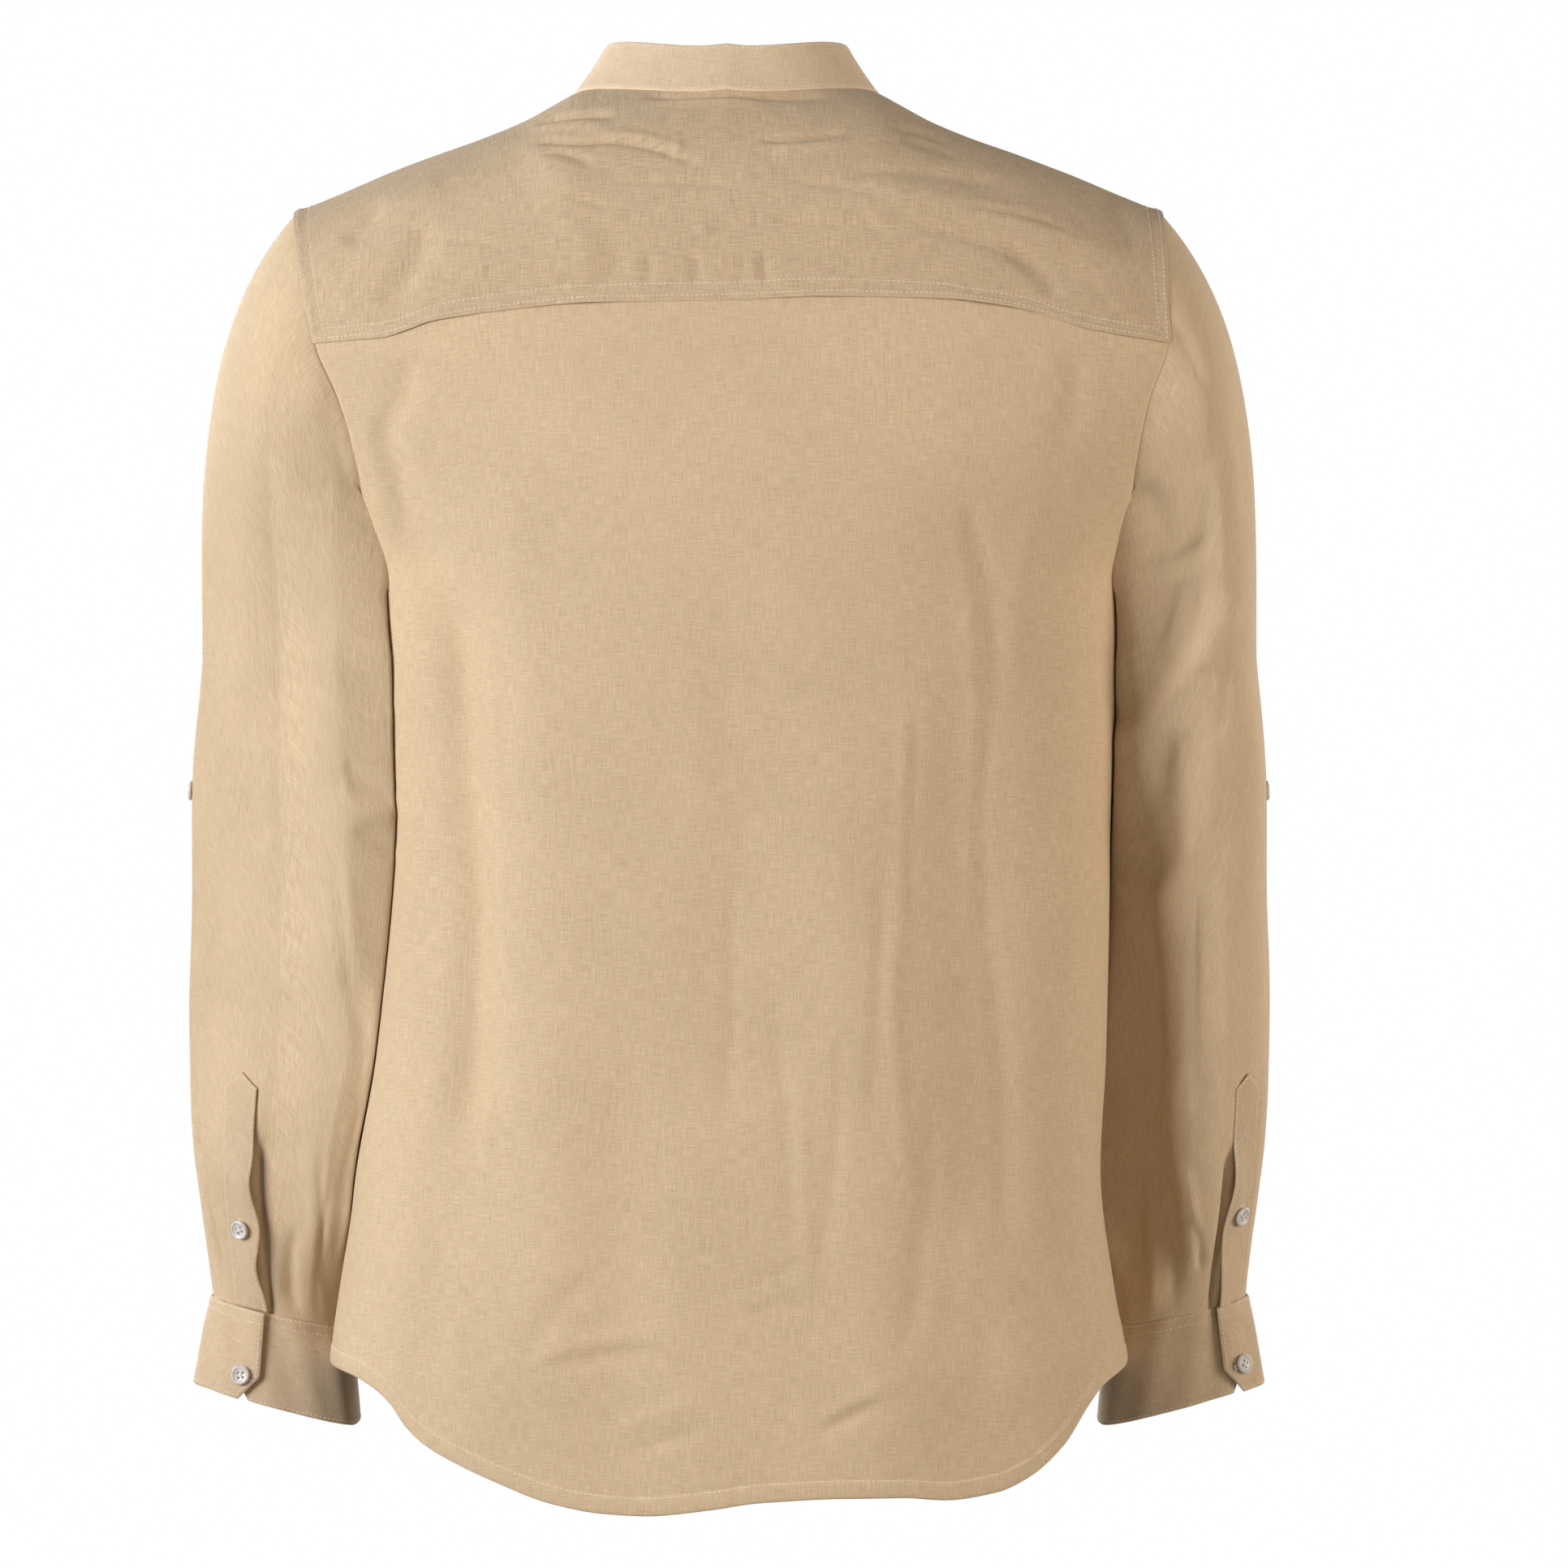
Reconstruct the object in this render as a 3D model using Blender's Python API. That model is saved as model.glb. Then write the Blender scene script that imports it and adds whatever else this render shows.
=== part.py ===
"""Long-sleeved shirt with a mandarin collar, filled out as if it were worn.

The script works in millimetres and places its meshes in metres. +Z is up, +Y is the
wearer's front and +X the wearer's right. The origin is the middle of the neck opening.
Each panel is a grid of points on the garment's surface, made into a closed wall of cloth.
"""
import math

import bpy
import numpy as np

MM = 0.001
BACK, FRONT = -1, 1
LEFT, RIGHT = -1, 1

# Cloth and seams
CLOTH = 1.2                     # wall of one layer of cloth
SEAM_GAP = 0.35                 # each piece stops this far from its seam line
LAYER_GAP = 0.45                # air between two layers that lie on each other

# Torso
RIDGE_Y = 5.0                   # the shoulder line, and the armpit below it
LEVEL_Z = -143.0                # where the yoke meets the armhole
ARMPIT_Z = -268.0
TIP_X = 232.0                   # shoulder tip
CORNER_Y = {BACK: -82.0, FRONT: 75.0}
FRONT_HOLLOW = 9.0              # the armhole cuts further in at the front
SQUARENESS = {BACK: 2.3, FRONT: 2.1}
FOLD_FADE = 0.3                 # share of its length over which a fold starts and ends
FOLD_REACH = 1.12               # and how far it runs, in its own lengths
FOLD_EDGE = 30.0                # folds flatten out this close to a side seam

# Neck and collar
NECK_HALF_WIDTH = 83.0
NECK_BACK = 73.0                # from the shoulder line to the collar seam at the back
NECK_FRONT = 57.0
YOKE_NECK_ANGLE = 115.0         # the yoke's front seam leaves the neckline here
YOKE_FRONT_ROLL = 33.0          # and meets the armhole here
YOKE_CORNER = 0.56              # share of the neckline that faces the back seam
COLLAR_HEIGHT = 32.0
COLLAR_RISE = 27.5              # its slope: up by this much
COLLAR_LEAN = 18.5              # for this much inwards
COLLAR_END = 195.0              # degrees round the neck from the centre back
COLLAR_CLOTH = 1.5
COLLAR_COLUMNS = 39
COLLAR_ROWS = (1.0, 0.66, 0.33, 0.0)
COLLAR_CORNER = 12.0            # degrees over which an end of the collar rounds off,
COLLAR_END_HEIGHT = 0.62        # down to this share of its height
COLLAR_BOW = 3.0
COLLAR_CLIMB = 1.25             # the collar stands this far above its seam line,
COLLAR_FRONT_CLIMB = 1.2        # and this much more over the fronts,
COLLAR_FRONT_START = 140.0      # from this angle on
COLLAR_FRONT_BLEND = 30.0

# Front opening
LAP = 16.0                      # half of the overlap of the two fronts
LAP_RISE_START = 51.0           # the left front starts to rise this far from the middle
LAP_RISE = 26.0                 # and is up on the right front after this much
BAND_CLOTH = 1.2

# Sleeves and cuffs
CAP_FLARE = 1.04                # how far the sleeve head swings out before it falls,
ARMPIT_FLARE = 0.35             # at the shoulder and at the armpit
CAP_SLOPE = 47.0                # degrees down from level at which it leaves the armhole
ARMPIT_SLOPE = 4.0
CAP_SHARE = 0.625               # share of the armhole's height over which these change
HEAD_START = 1.25               # from the armhole line to the sleeve's first row
SLEEVE_TOP_Z = -310.0           # below here the sleeve's sections are level
SLEEVE_CLEARANCE = 2.8          # from the middle of the body's wall to the sleeve's
WRIST_INNER = 209.0
WRIST_START_Z = -500.0          # the inner side turns from the body to the wrist
WRIST_BLEND = 150.0             # over this height
HALF_SLEEVE = 45.0              # half of a sleeve's width, to space its columns
SLEEVE_FADE = 0.35              # as for the folds of the torso
SLEEVE_FOLD_REACH = 1.3
SLEEVE_SQUARENESS = 2.15
CUFF_CENTRE_Y = 50.0
CUFF_HALF_DEPTH = 35.0
CUFF_CLOTH = 1.4
CUFF_SEAM = 1.0                 # from the end of the sleeve down to the cuff
CUFF_HEIGHT = 50.0
CUFF_LAP_ANGLE = 24.0
CUFF_OVER_ANGLE = 12.0          # from the placket's middle to the end that shows
CUFF_CHAMFER = 15.0             # degrees that the corners are cut off,
CUFF_CHAMFER_START = 0.7        # from this share of the height on
CUFF_LAYERS = 2.05              # from one end's layer to the other's
CUFF_TOP_OUTER = 284.0
CUFF_TOP_INNER = 208.5
CUFF_SPREAD = 9.0               # how much wider the cuff is at its free edge
CUFF_DROP = 0.07                # the free edge hangs lower next to the body
CUFF_ROWS = (0.0, 0.35, 0.7, 1.0)
CUFF_COLUMNS = 31
PLACKET_WIDTH = 21.0
PLACKET_ANGLE = {LEFT: 111.0, RIGHT: 131.0}     # round the sleeve, 90 is the back
PLACKET_TOP_Z = -535
PLACKET_POINT = 0.15            # how little of the top row's height the corners keep
BEHIND = 40.0                   # from a placket to a point inside the sleeve

# Buttons
BUTTON_RADIUS = 5.3
BUTTON_HEIGHT = 2.4
BUTTON_DISH = 0.8
BUTTON_SIDES = 12
BUTTON_FACING = (0.3, 0.2, 1.0)     # sets the first corner of a button's rim
BUTTON_SEAT = 0.5               # air under a button, where the thread holds it
FRONT_BUTTONS = 6
FIRST_BUTTON_Z = -112.0
BUTTON_SPACING = 92.0
COLLAR_BUTTON_Z = -62.0
PLACKET_BUTTON_Z = {LEFT: -618.0, RIGHT: -612.0}
CUFF_BUTTON_Z = {LEFT: -697.0, RIGHT: -693.0}
ROLL_BUTTON_Z = -379.0

# Cloth and button colours
SAND = (0.68, 0.51, 0.33)
SAND_DARK = (0.63, 0.46, 0.29)
CLEAR = (0.86, 0.86, 0.88)


def table(columns, *rows):
    """A short table as a dictionary from column name to array."""
    return dict(zip(columns.split(), np.array(rows, float).T))


# Torso sections: half width of the body, or of the cut at the armhole, how far out the
# middle back and front lie, where the side seam lies, and a shift to the wearer's right
BODY = table(
    "height half_width back front side_seam shift",
    (-770, 215.0, -120, 126, -9, 0.0),
    (-690, 214.5, -119, 125, -8, 0.3),
    (-650, 209.0, -117, 123, -6, -0.8),
    (-598, 201.7, -115, 121, -4, -0.5),
    (-522, 197.5, -113, 121, -1, 6.4),
    (-416, 195.5, -116, 124, 2, 10.6),
    (-345, 199.5, -121, 128, 4, 9.9),
    (-268, 204.3, -125, 131, 5, 9.2),
    (-222, 204.6, -125, 131, 5, 10.3),
    (-196, 208.4, -124, 130, 5, 9.8),
    (-173, 214.2, -122, 127, 5, 8.8),
    (-143, 225.0, -120, 122, 5, 7.5),
    (-115, 227.0, -118, 118, 5, 4.0),
    (-65, 228.0, -118, 118, 5, 0.0),
    (0, 228.0, -118, 118, 5, -0.7))

# Height of the hem and of the yoke's back seam across the body, from side to side
HEM = table(
    "across height",
    (-1.00, -688), (-0.93, -691), (-0.87, -697), (-0.83, -704), (-0.79, -715),
    (-0.74, -724), (-0.66, -733), (-0.56, -742), (-0.43, -752), (-0.30, -757),
    (-0.20, -758), (-0.05, -755), (0.08, -751), (0.28, -749), (0.42, -749),
    (0.54, -751), (0.66, -748), (0.74, -741), (0.83, -725), (0.89, -706),
    (0.93, -696), (1.00, -688))
FRONT_HEM = table(
    "across height",
    (0.0, -744), (0.40, -743), (0.60, -737), (0.75, -724), (0.83, -711),
    (0.90, -699), (0.95, -692), (1.00, -688))
YOKE_SEAM = table(
    "across height",
    (-1.0, -143), (-0.83, -141), (-0.78, -138), (-0.71, -133), (-0.6, -129.5),
    (-0.36, -124.5), (0.0, -123), (0.2, -121), (0.47, -122), (0.57, -124.5),
    (0.67, -128), (0.8, -136.5), (1.0, -143))

# Height of the shoulder line away from the neck, and the line that the cut-out parts
# inside the neckline would follow
SHOULDER = table(
    "out back front",
    (0, 13, -53), (40, 7, -39), (75, -1, -8), (83, -4, -5), (92, -9, -9), (109, -18.5, -18.5),
    (132, -28, -28), (157, -37, -37), (181, -46, -46), (205, -56, -56), (240, -70, -70))

# The largest folds of the torso: where each runs, how wide and how deep
BODY_FOLDS = table(
    "face x_top z_top x_bottom z_bottom half_width depth",
    (BACK, -150, -235, -136, -640, 30, -4.5),
    (BACK, -100, -260, -96, -700, 32, 3.0),
    (BACK, 2, -240, 8, -560, 30, -2.5),
    (BACK, 60, -330, 84, -740, 26, 3.5),
    (BACK, 126, -260, 140, -720, 22, -5.0),
    (BACK, -52, -480, -60, -750, 24, -3.0),
    (FRONT, -146, -250, -128, -690, 30, -4.5),
    (FRONT, -88, -330, -100, -730, 28, 3.5),
    (FRONT, 92, -280, 84, -720, 28, -4.0),
    (FRONT, 150, -240, 134, -700, 26, 4.0))

# Sleeve sections from the armpit to the cuff, tilted up towards the outside. The side
# next to the body lies further forward, at inner_y, where the body curves away.
SLEEVE = table(
    "height outer centre_y inner_y half_depth tilt",
    (-674, 284.0, 50, 50, 34, 8.5),
    (-640, 287.5, 48, 49, 40, 7.0),
    (-612, 290.5, 46, 48, 46, 5.0),
    (-576, 294.0, 43, 46, 53, 2.5),
    (-541, 295.5, 40, 45, 58, 1.0),
    (-506, 295.8, 36, 44, 62, 0),
    (-436, 293.5, 29, 42, 67, 0),
    (-383, 292.5, 22, 39, 70, 0),
    (-310, 286.0, 10, 35, 73, 0))

# The largest folds of the sleeves, by the angle round the sleeve (90 is the back)
SLEEVE_FOLDS = table(
    "side angle_top z_top angle_bottom z_bottom half_angle depth",
    (RIGHT, 100, -180, 70, -330, 20, -5.0),
    (RIGHT, 125, -270, 60, -360, 16, 4.5),
    (RIGHT, 105, -400, 85, -520, 18, -4.0),
    (RIGHT, 300, -240, 250, -380, 22, -4.0),
    (LEFT, 70, -180, 90, -330, 22, -3.5),
    (LEFT, 60, -380, 70, -470, 18, 3.5),
    (LEFT, 90, -560, 84, -650, 14, -3.0),
    (LEFT, 290, -250, 240, -390, 22, -4.0))

# Half section of a button, as shares of its radius and height, from its back to its dish
BUTTON_PROFILE = table(
    "radius height",
    (0.80, 0.0), (1.00, 0.45), (0.90, 1.0), (0.62, 1 - BUTTON_DISH / BUTTON_HEIGHT))


def smooth(keys, values, at):
    """Read a monotone cubic curve through (keys, values); the keys rise."""
    step = np.diff(keys)
    slope = np.diff(values) / step
    product = slope[:-1] * slope[1:]
    total = slope[:-1] + slope[1:]
    tangent = np.concatenate([slope[:1], np.zeros(len(product)), slope[-1:]])
    same_way = product > 0
    tangent[1:-1][same_way] = 2 * product[same_way] / total[same_way]
    at = np.clip(at, keys[0], keys[-1])
    cell = np.clip(np.searchsorted(keys, at) - 1, 0, len(step) - 1)
    t = (at - keys[cell]) / step[cell]
    return ((2 * t ** 3 - 3 * t ** 2 + 1) * values[cell]
            + (t ** 3 - 2 * t ** 2 + t) * tangent[cell] * step[cell]
            + (3 * t ** 2 - 2 * t ** 3) * values[cell + 1]
            + (t ** 3 - t ** 2) * tangent[cell + 1] * step[cell])


def body(column, height):
    return smooth(BODY["height"], BODY[column], height)


def unit(vectors):
    return vectors / np.maximum(np.linalg.norm(vectors, axis=-1, keepdims=True), 1e-9)


def blend(start, end, t):
    return start + (end - start) * t


def ease(t):
    """0 below 0, 1 above 1, and a smooth step between them."""
    t = np.clip(t, 0.0, 1.0)
    return t * t * (3 - 2 * t)


# ---------------------------------------------------------------- torso surface

def hem_height(face, across):
    if face == BACK:
        return smooth(HEM["across"], HEM["height"], across)
    return smooth(FRONT_HEM["across"], FRONT_HEM["height"], np.abs(across))


def level_height(face, across):
    """The height at which the torso's sections end and the shoulder begins."""
    if face == BACK:
        return smooth(YOKE_SEAM["across"], YOKE_SEAM["height"], across)
    return LEVEL_Z + 0 * across


def section_turn(face, height):
    """How much of a quarter turn a section makes before it meets the armhole."""
    middle = body("back" if face == BACK else "front", height)
    seam = body("side_seam", height)
    power = SQUARENESS[face]
    cut = np.clip((edge_y(face, height) - seam) / (middle - seam), 0, 1)
    return np.arcsin((1 - cut ** power) ** (1 / power))


def across_of(face, column, height):
    """Share of the half width that a column (-1 to 1) lies at."""
    turn = section_turn(face, height)
    return np.sin(turn * column) / np.sin(turn)


def column_of(face, across, height):
    """The column that lies at a share of the half width."""
    turn = section_turn(face, height)
    return np.arcsin(across * np.sin(turn)) / turn


def half_width(face, height):
    width = body("half_width", height)
    if face == FRONT:
        rise = np.clip((height - ARMPIT_Z) / (LEVEL_Z - ARMPIT_Z), 0, 1)
        width = width - FRONT_HOLLOW * np.sin(rise * np.pi / 2) ** 2
    return width


def edge_y(face, height):
    """Where a section ends: on the armhole above the armpit, on the side seam below."""
    drop = np.clip((height - LEVEL_Z) / (ARMPIT_Z - LEVEL_Z), 0, 1)
    armhole = RIDGE_Y + (CORNER_Y[face] - RIDGE_Y) * np.sqrt(1 - drop ** 2)
    return np.where(height > ARMPIT_Z, armhole, body("side_seam", height))


def section_point(face, column, height):
    """Point of the torso below the shoulders. Columns run from -1 to 1 across."""
    column, height = np.broadcast_arrays(column, height)
    turn = section_turn(face, height)
    power = SQUARENESS[face]
    swing = np.abs(np.sin(turn * column))
    bow = 1 - np.maximum(1 - swing ** power, 0) ** (1 / power)
    middle = body("back" if face == BACK else "front", height)
    x = body("shift", height) + half_width(face, height) * across_of(face, column, height)
    y = middle + (body("side_seam", height) - middle) * bow
    return np.stack([x, y, height], axis=-1)


def shoulder_power(face, across):
    """Roundness of the profile from the shoulder line down to the torso."""
    if face == BACK:
        return 2.2 + 0 * across
    return 1.4 + 0.6 * across ** 2


def shoulder_point(face, column, roll):
    """Point above the torso's sections. Roll is 0 on the shoulder line, 90 at its end."""
    column, roll = np.broadcast_arrays(column, np.radians(roll))
    across = across_of(face, column, LEVEL_Z)
    level = level_height(face, across)
    rim = section_point(face, column, level)
    width = half_width(face, level)
    width = width + (TIP_X - width) * np.cos(roll)
    reach = width * across
    ridge = smooth(SHOULDER["out"], SHOULDER["back" if face == BACK else "front"],
                   np.abs(reach))
    power = 2 / shoulder_power(face, across)
    y = RIDGE_Y + (rim[..., 1] - RIDGE_Y) * np.sin(roll) ** power
    z = level + (ridge - level) * np.cos(roll) ** power
    return np.stack([body("shift", z) + reach, y, z], axis=-1)


def neck_place(angle):
    """Column and roll of the collar seam at an angle from the centre back."""
    angle = np.radians(np.asarray(angle, float))
    forward = np.cos(angle) < 0
    x = NECK_HALF_WIDTH * np.sin(angle)
    reach = np.where(forward, NECK_FRONT, NECK_BACK) * np.abs(np.cos(angle))
    column = column_of(BACK, x / TIP_X, LEVEL_Z)
    roll = np.zeros_like(column)
    for _ in range(4):
        for face in (BACK, FRONT):
            here = forward if face == FRONT else ~forward
            across = across_of(face, column, LEVEL_Z)
            level = level_height(face, across)
            rim_y = section_point(face, column, level)[..., 1]
            share = np.clip(reach / np.abs(rim_y - RIDGE_Y), 0, 1)
            rolled = np.arcsin(share ** (shoulder_power(face, across) / 2))
            width = half_width(face, level)
            width = width + (TIP_X - width) * np.cos(rolled)
            moved = column_of(face, x / width, LEVEL_Z)
            roll = np.where(here, rolled, roll)
            column = np.where(here, moved, column)
    return column, np.degrees(roll), forward


def neck_point(angle):
    column, roll, forward = neck_place(angle)
    back = shoulder_point(BACK, column, roll)
    front = shoulder_point(FRONT, column, roll)
    return np.where(forward[..., None], front, back)


def armhole_point(side, angle):
    """Point of the armhole: 0 is the armpit, 90 the back, 180 the shoulder tip."""
    angle = np.asarray(angle, float) % 360
    face_is_back = angle <= 180
    folded = np.where(face_is_back, angle, 360 - angle)
    points = []
    for face in (BACK, FRONT):
        low = LEVEL_Z + (ARMPIT_Z - LEVEL_Z) * np.cos(np.radians(np.minimum(folded, 90)))
        low_point = section_point(face, side + 0 * folded, low)
        high_point = shoulder_point(face, side + 0 * folded, 180 - np.maximum(folded, 90))
        points.append(np.where((folded < 90)[..., None], low_point, high_point))
    return np.where(face_is_back[..., None], points[0], points[1])


# ---------------------------------------------------------------- walls of cloth

def normals(points, closed=False):
    """Unit normals of a grid of points, by its neighbours in both directions."""
    down = np.gradient(points, axis=0)
    if closed:
        along = np.roll(points, -1, axis=1) - np.roll(points, 1, axis=1)
    else:
        along = np.gradient(points, axis=1)
    return unit(np.cross(along, down))


def outward(points, inside, closed=False):
    """The grid's normals, all on the side that leads away from `inside`."""
    facing = normals(points, closed)
    if np.sum(facing * (points - inside)) < 0:
        return -facing
    return facing


def trim(points, top=0.0, bottom=0.0, left=0.0, right=0.0):
    """Draw the edges of a grid in along the cloth. Row 0 is the top."""
    points = points.copy()
    if top:
        points[0] += unit(points[1] - points[0]) * top
    if bottom:
        points[-1] += unit(points[-2] - points[-1]) * bottom
    if left:
        points[:, 0] += unit(points[:, 1] - points[:, 0]) * left
    if right:
        points[:, -1] += unit(points[:, -2] - points[:, -1]) * right
    return points


def layer_faces(rows, columns, closed, start, flip):
    """Triangles of one side of a wall, every cell cut along the same diagonal."""
    faces = []
    last = columns if closed else columns - 1
    for i in range(rows - 1):
        for j in range(last):
            k = (j + 1) % columns
            a, b = start + i * columns + j, start + i * columns + k
            c, d = b + columns, a + columns
            for face in ((a, b, c), (a, c, d)):
                faces.append(face[::-1] if flip else face)
    return faces


def rim_loop(rows, columns):
    """Grid indices once round the edge of an open grid."""
    top = [j for j in range(columns)]
    right = [i * columns + columns - 1 for i in range(1, rows)]
    bottom = [(rows - 1) * columns + j for j in range(columns - 2, -1, -1)]
    left = [i * columns for i in range(rows - 2, 0, -1)]
    return top + right + bottom + left


def rim_faces(rows, columns, closed):
    """Faces that close the wall along its edges."""
    count = rows * columns
    if closed:
        first = list(range(columns))
        last = [(rows - 1) * columns + j for j in range(columns)]
        loops = [first, last[::-1]]
    else:
        loops = [rim_loop(rows, columns)]
    faces = []
    for loop in loops:
        for here, after in zip(loop, loop[1:] + loop[:1]):
            faces.append((after, here, here + count))
            faces.append((after, here + count, after + count))
    return faces


def add_object(name, vertices, faces, colour, roughness=0.85):
    """Place a closed mesh, given in millimetres, with a material of its own."""
    mesh = bpy.data.meshes.new(name)
    mesh.from_pydata((np.asarray(vertices) * MM).tolist(), [], faces)
    mesh.shade_smooth()
    mesh.set_sharp_from_angle(angle=math.radians(50))
    shirt_piece = bpy.data.objects.new(name, mesh)
    bpy.context.scene.collection.objects.link(shirt_piece)
    material = bpy.data.materials.new(name)
    material.use_nodes = True
    shader = material.node_tree.nodes["Principled BSDF"]
    shader.inputs["Base Color"].default_value = (*colour, 1.0)
    shader.inputs["Roughness"].default_value = roughness
    shader.inputs["Metallic"].default_value = 0.0
    mesh.materials.append(material)
    return shirt_piece


def add_wall(name, points, inside, thickness=CLOTH, closed=False, colour=SAND):
    """A closed wall of cloth around the grid: an outer layer, an inner layer, a rim."""
    facing = outward(points, inside, closed)
    if np.sum(facing * normals(points, closed)) < 0:
        points, facing = points[:, ::-1], facing[:, ::-1]
    rows, columns = points.shape[:2]
    outer = points + facing * thickness / 2
    inner = points - facing * thickness / 2
    vertices = np.concatenate([outer.reshape(-1, 3), inner.reshape(-1, 3)])
    faces = layer_faces(rows, columns, closed, 0, flip=False)
    faces += layer_faces(rows, columns, closed, rows * columns, flip=True)
    faces += rim_faces(rows, columns, closed)
    return add_object(name, vertices, faces, colour)


TORSO_AXIS = np.array([0.0, 0.0, -330.0])
COLLAR_AXIS = np.array([0.0, 5.0, -60.0])
LOW_ROWS = 13
ARMHOLE_ROWS = 6
YOKE_BACK_COLUMNS = 12
YOKE_ARMHOLE_COLUMNS = 9
YOKE_ROWS = 7
FRONT_TOP_ROWS = 5


def fold_depth(face, points):
    """How far the largest folds move the cloth out or in, at points of the torso."""
    x, z = points[..., 0], points[..., 2]
    depth = np.zeros_like(x)
    for k in np.flatnonzero(BODY_FOLDS["face"] == face):
        fold = {name: column[k] for name, column in BODY_FOLDS.items()}
        along = (z - fold["z_top"]) / (fold["z_bottom"] - fold["z_top"])
        middle = blend(fold["x_top"], fold["x_bottom"], np.clip(along, 0, 1))
        ends = ease(along / FOLD_FADE) * ease((FOLD_REACH - along) / FOLD_FADE)
        depth += fold["depth"] * ends * np.exp(-((x - middle) / fold["half_width"]) ** 2)
    edge = ease((half_width(face, z) - np.abs(x - body("shift", z))) / FOLD_EDGE)
    return depth * edge


def torso_rows(face, columns, top):
    """Grid of the torso from a top height down to the hem, with a row at the armpit."""
    hem = hem_height(face, across_of(face, columns, ARMPIT_Z))
    rows = []
    for i in range(ARMHOLE_ROWS + 1):
        share = i / ARMHOLE_ROWS
        even, turned = share, math.sin(share * math.pi / 2)
        fraction = blend(even, turned, columns ** 2)
        rows.append(section_point(face, columns, blend(top, ARMPIT_Z, fraction)))
    for i in range(1, LOW_ROWS + 1):
        rows.append(section_point(face, columns, blend(ARMPIT_Z, hem, i / LOW_ROWS)))
    points = np.array(rows)
    facing = outward(points, TORSO_AXIS)
    return points + facing * fold_depth(face, points)[..., None]


# ---------------------------------------------------------------- the panels

def back_grid():
    columns = np.linspace(-1, 1, 2 * YOKE_BACK_COLUMNS - 1)
    top = level_height(BACK, across_of(BACK, columns, LEVEL_Z))
    return torso_rows(BACK, columns, top)


def yoke_grid():
    """From the neckline out to the back seam and the armholes, seam to seam in front."""
    sweep = np.concatenate([np.linspace(0, YOKE_CORNER, YOKE_BACK_COLUMNS),
                            np.linspace(YOKE_CORNER, 1, YOKE_ARMHOLE_COLUMNS)[1:]])
    sweep = np.concatenate([-sweep[:0:-1], sweep])
    neck_column, neck_roll, forward = neck_place(sweep * YOKE_NECK_ANGLE)
    neck_roll = np.where(forward, neck_roll, -neck_roll)
    size = np.abs(sweep)
    edge_column = np.clip(sweep / YOKE_CORNER, -1, 1)
    past = np.clip((size - YOKE_CORNER) / (1 - YOKE_CORNER), 0, 1)
    edge_roll = blend(-90.0, YOKE_FRONT_ROLL, past)
    rows = []
    for share in np.linspace(0, 1, YOKE_ROWS):
        column = blend(neck_column, edge_column, share)
        roll = blend(neck_roll, edge_roll, share)
        back = shoulder_point(BACK, column, np.abs(roll))
        front = shoulder_point(FRONT, column, np.abs(roll))
        rows.append(np.where((roll < 0)[..., None], back, front))
    return np.array(rows)


def front_top_roll(columns):
    """Roll at which a column of the front ends: at the neckline or at the yoke."""
    angles = np.linspace(YOKE_NECK_ANGLE, 180, 60)
    neck_column, neck_roll, _ = neck_place(angles)
    size = np.abs(columns)
    at_neck = np.interp(size, neck_column[::-1], neck_roll[::-1])
    share = np.clip((size - neck_column[0]) / (1 - neck_column[0]), 0, 1)
    at_yoke = blend(neck_roll[0], YOKE_FRONT_ROLL, share)
    return np.where(size < neck_column[0], at_neck, at_yoke)


def lap_column(x):
    """Column of the front at a distance from the centre line."""
    return float(column_of(FRONT, x / half_width(FRONT, LEVEL_Z), LEVEL_Z))


def front_grid(side):
    """One front, from its edge past the centre line to the side seam."""
    lap = lap_column(LAP)
    seam = neck_place(YOKE_NECK_ANGLE)[0]
    columns = side * np.concatenate([[-lap, 0, lap], np.linspace(lap, seam, 6)[1:],
                                     np.linspace(seam, 1, YOKE_ROWS)[1:]])
    lower = torso_rows(FRONT, columns, LEVEL_Z + 0 * columns)
    top_roll = front_top_roll(columns)
    upper = [shoulder_point(FRONT, columns, blend(top_roll, 90.0, share))
             for share in np.linspace(0, 1, FRONT_TOP_ROWS + 1)[:-1]]
    return np.concatenate([np.array(upper), lower])


def lapped(points, side):
    """The left front, lifted over the right one near the centre line."""
    if side == RIGHT:
        return points
    facing = outward(points, TORSO_AXIS)
    from_middle = points[..., 0] - body("shift", points[..., 2])
    lift = (CLOTH + LAYER_GAP) * ease((from_middle + LAP_RISE_START) / LAP_RISE)
    return points + facing * lift[..., None]


def add_torso():
    back = trim(back_grid(), top=SEAM_GAP, left=SEAM_GAP, right=SEAM_GAP)
    add_wall("back", back, TORSO_AXIS)
    yoke = trim(yoke_grid(), top=SEAM_GAP, bottom=SEAM_GAP, left=SEAM_GAP, right=SEAM_GAP)
    add_wall("yoke", yoke, TORSO_AXIS)
    for side, name in ((LEFT, "left_front"), (RIGHT, "right_front")):
        front = lapped(front_grid(side), side)
        front = trim(front, top=SEAM_GAP, right=SEAM_GAP)
        add_wall(name, front, TORSO_AXIS)
    return lapped(front_grid(LEFT), LEFT)


# ---------------------------------------------------------------- button band

def add_band(left_front):
    """The strip on the edge of the left front, made from the front's own points."""
    facing = outward(left_front, TORSO_AXIS)[:, :3]
    band = left_front[:, :3] + facing * ((CLOTH + BAND_CLOTH) / 2 + LAYER_GAP)
    band = trim(band, top=2 * SEAM_GAP)
    add_wall("button_band", band, TORSO_AXIS, thickness=BAND_CLOTH, colour=SAND_DARK)
    return band


# ---------------------------------------------------------------- collar

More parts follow.
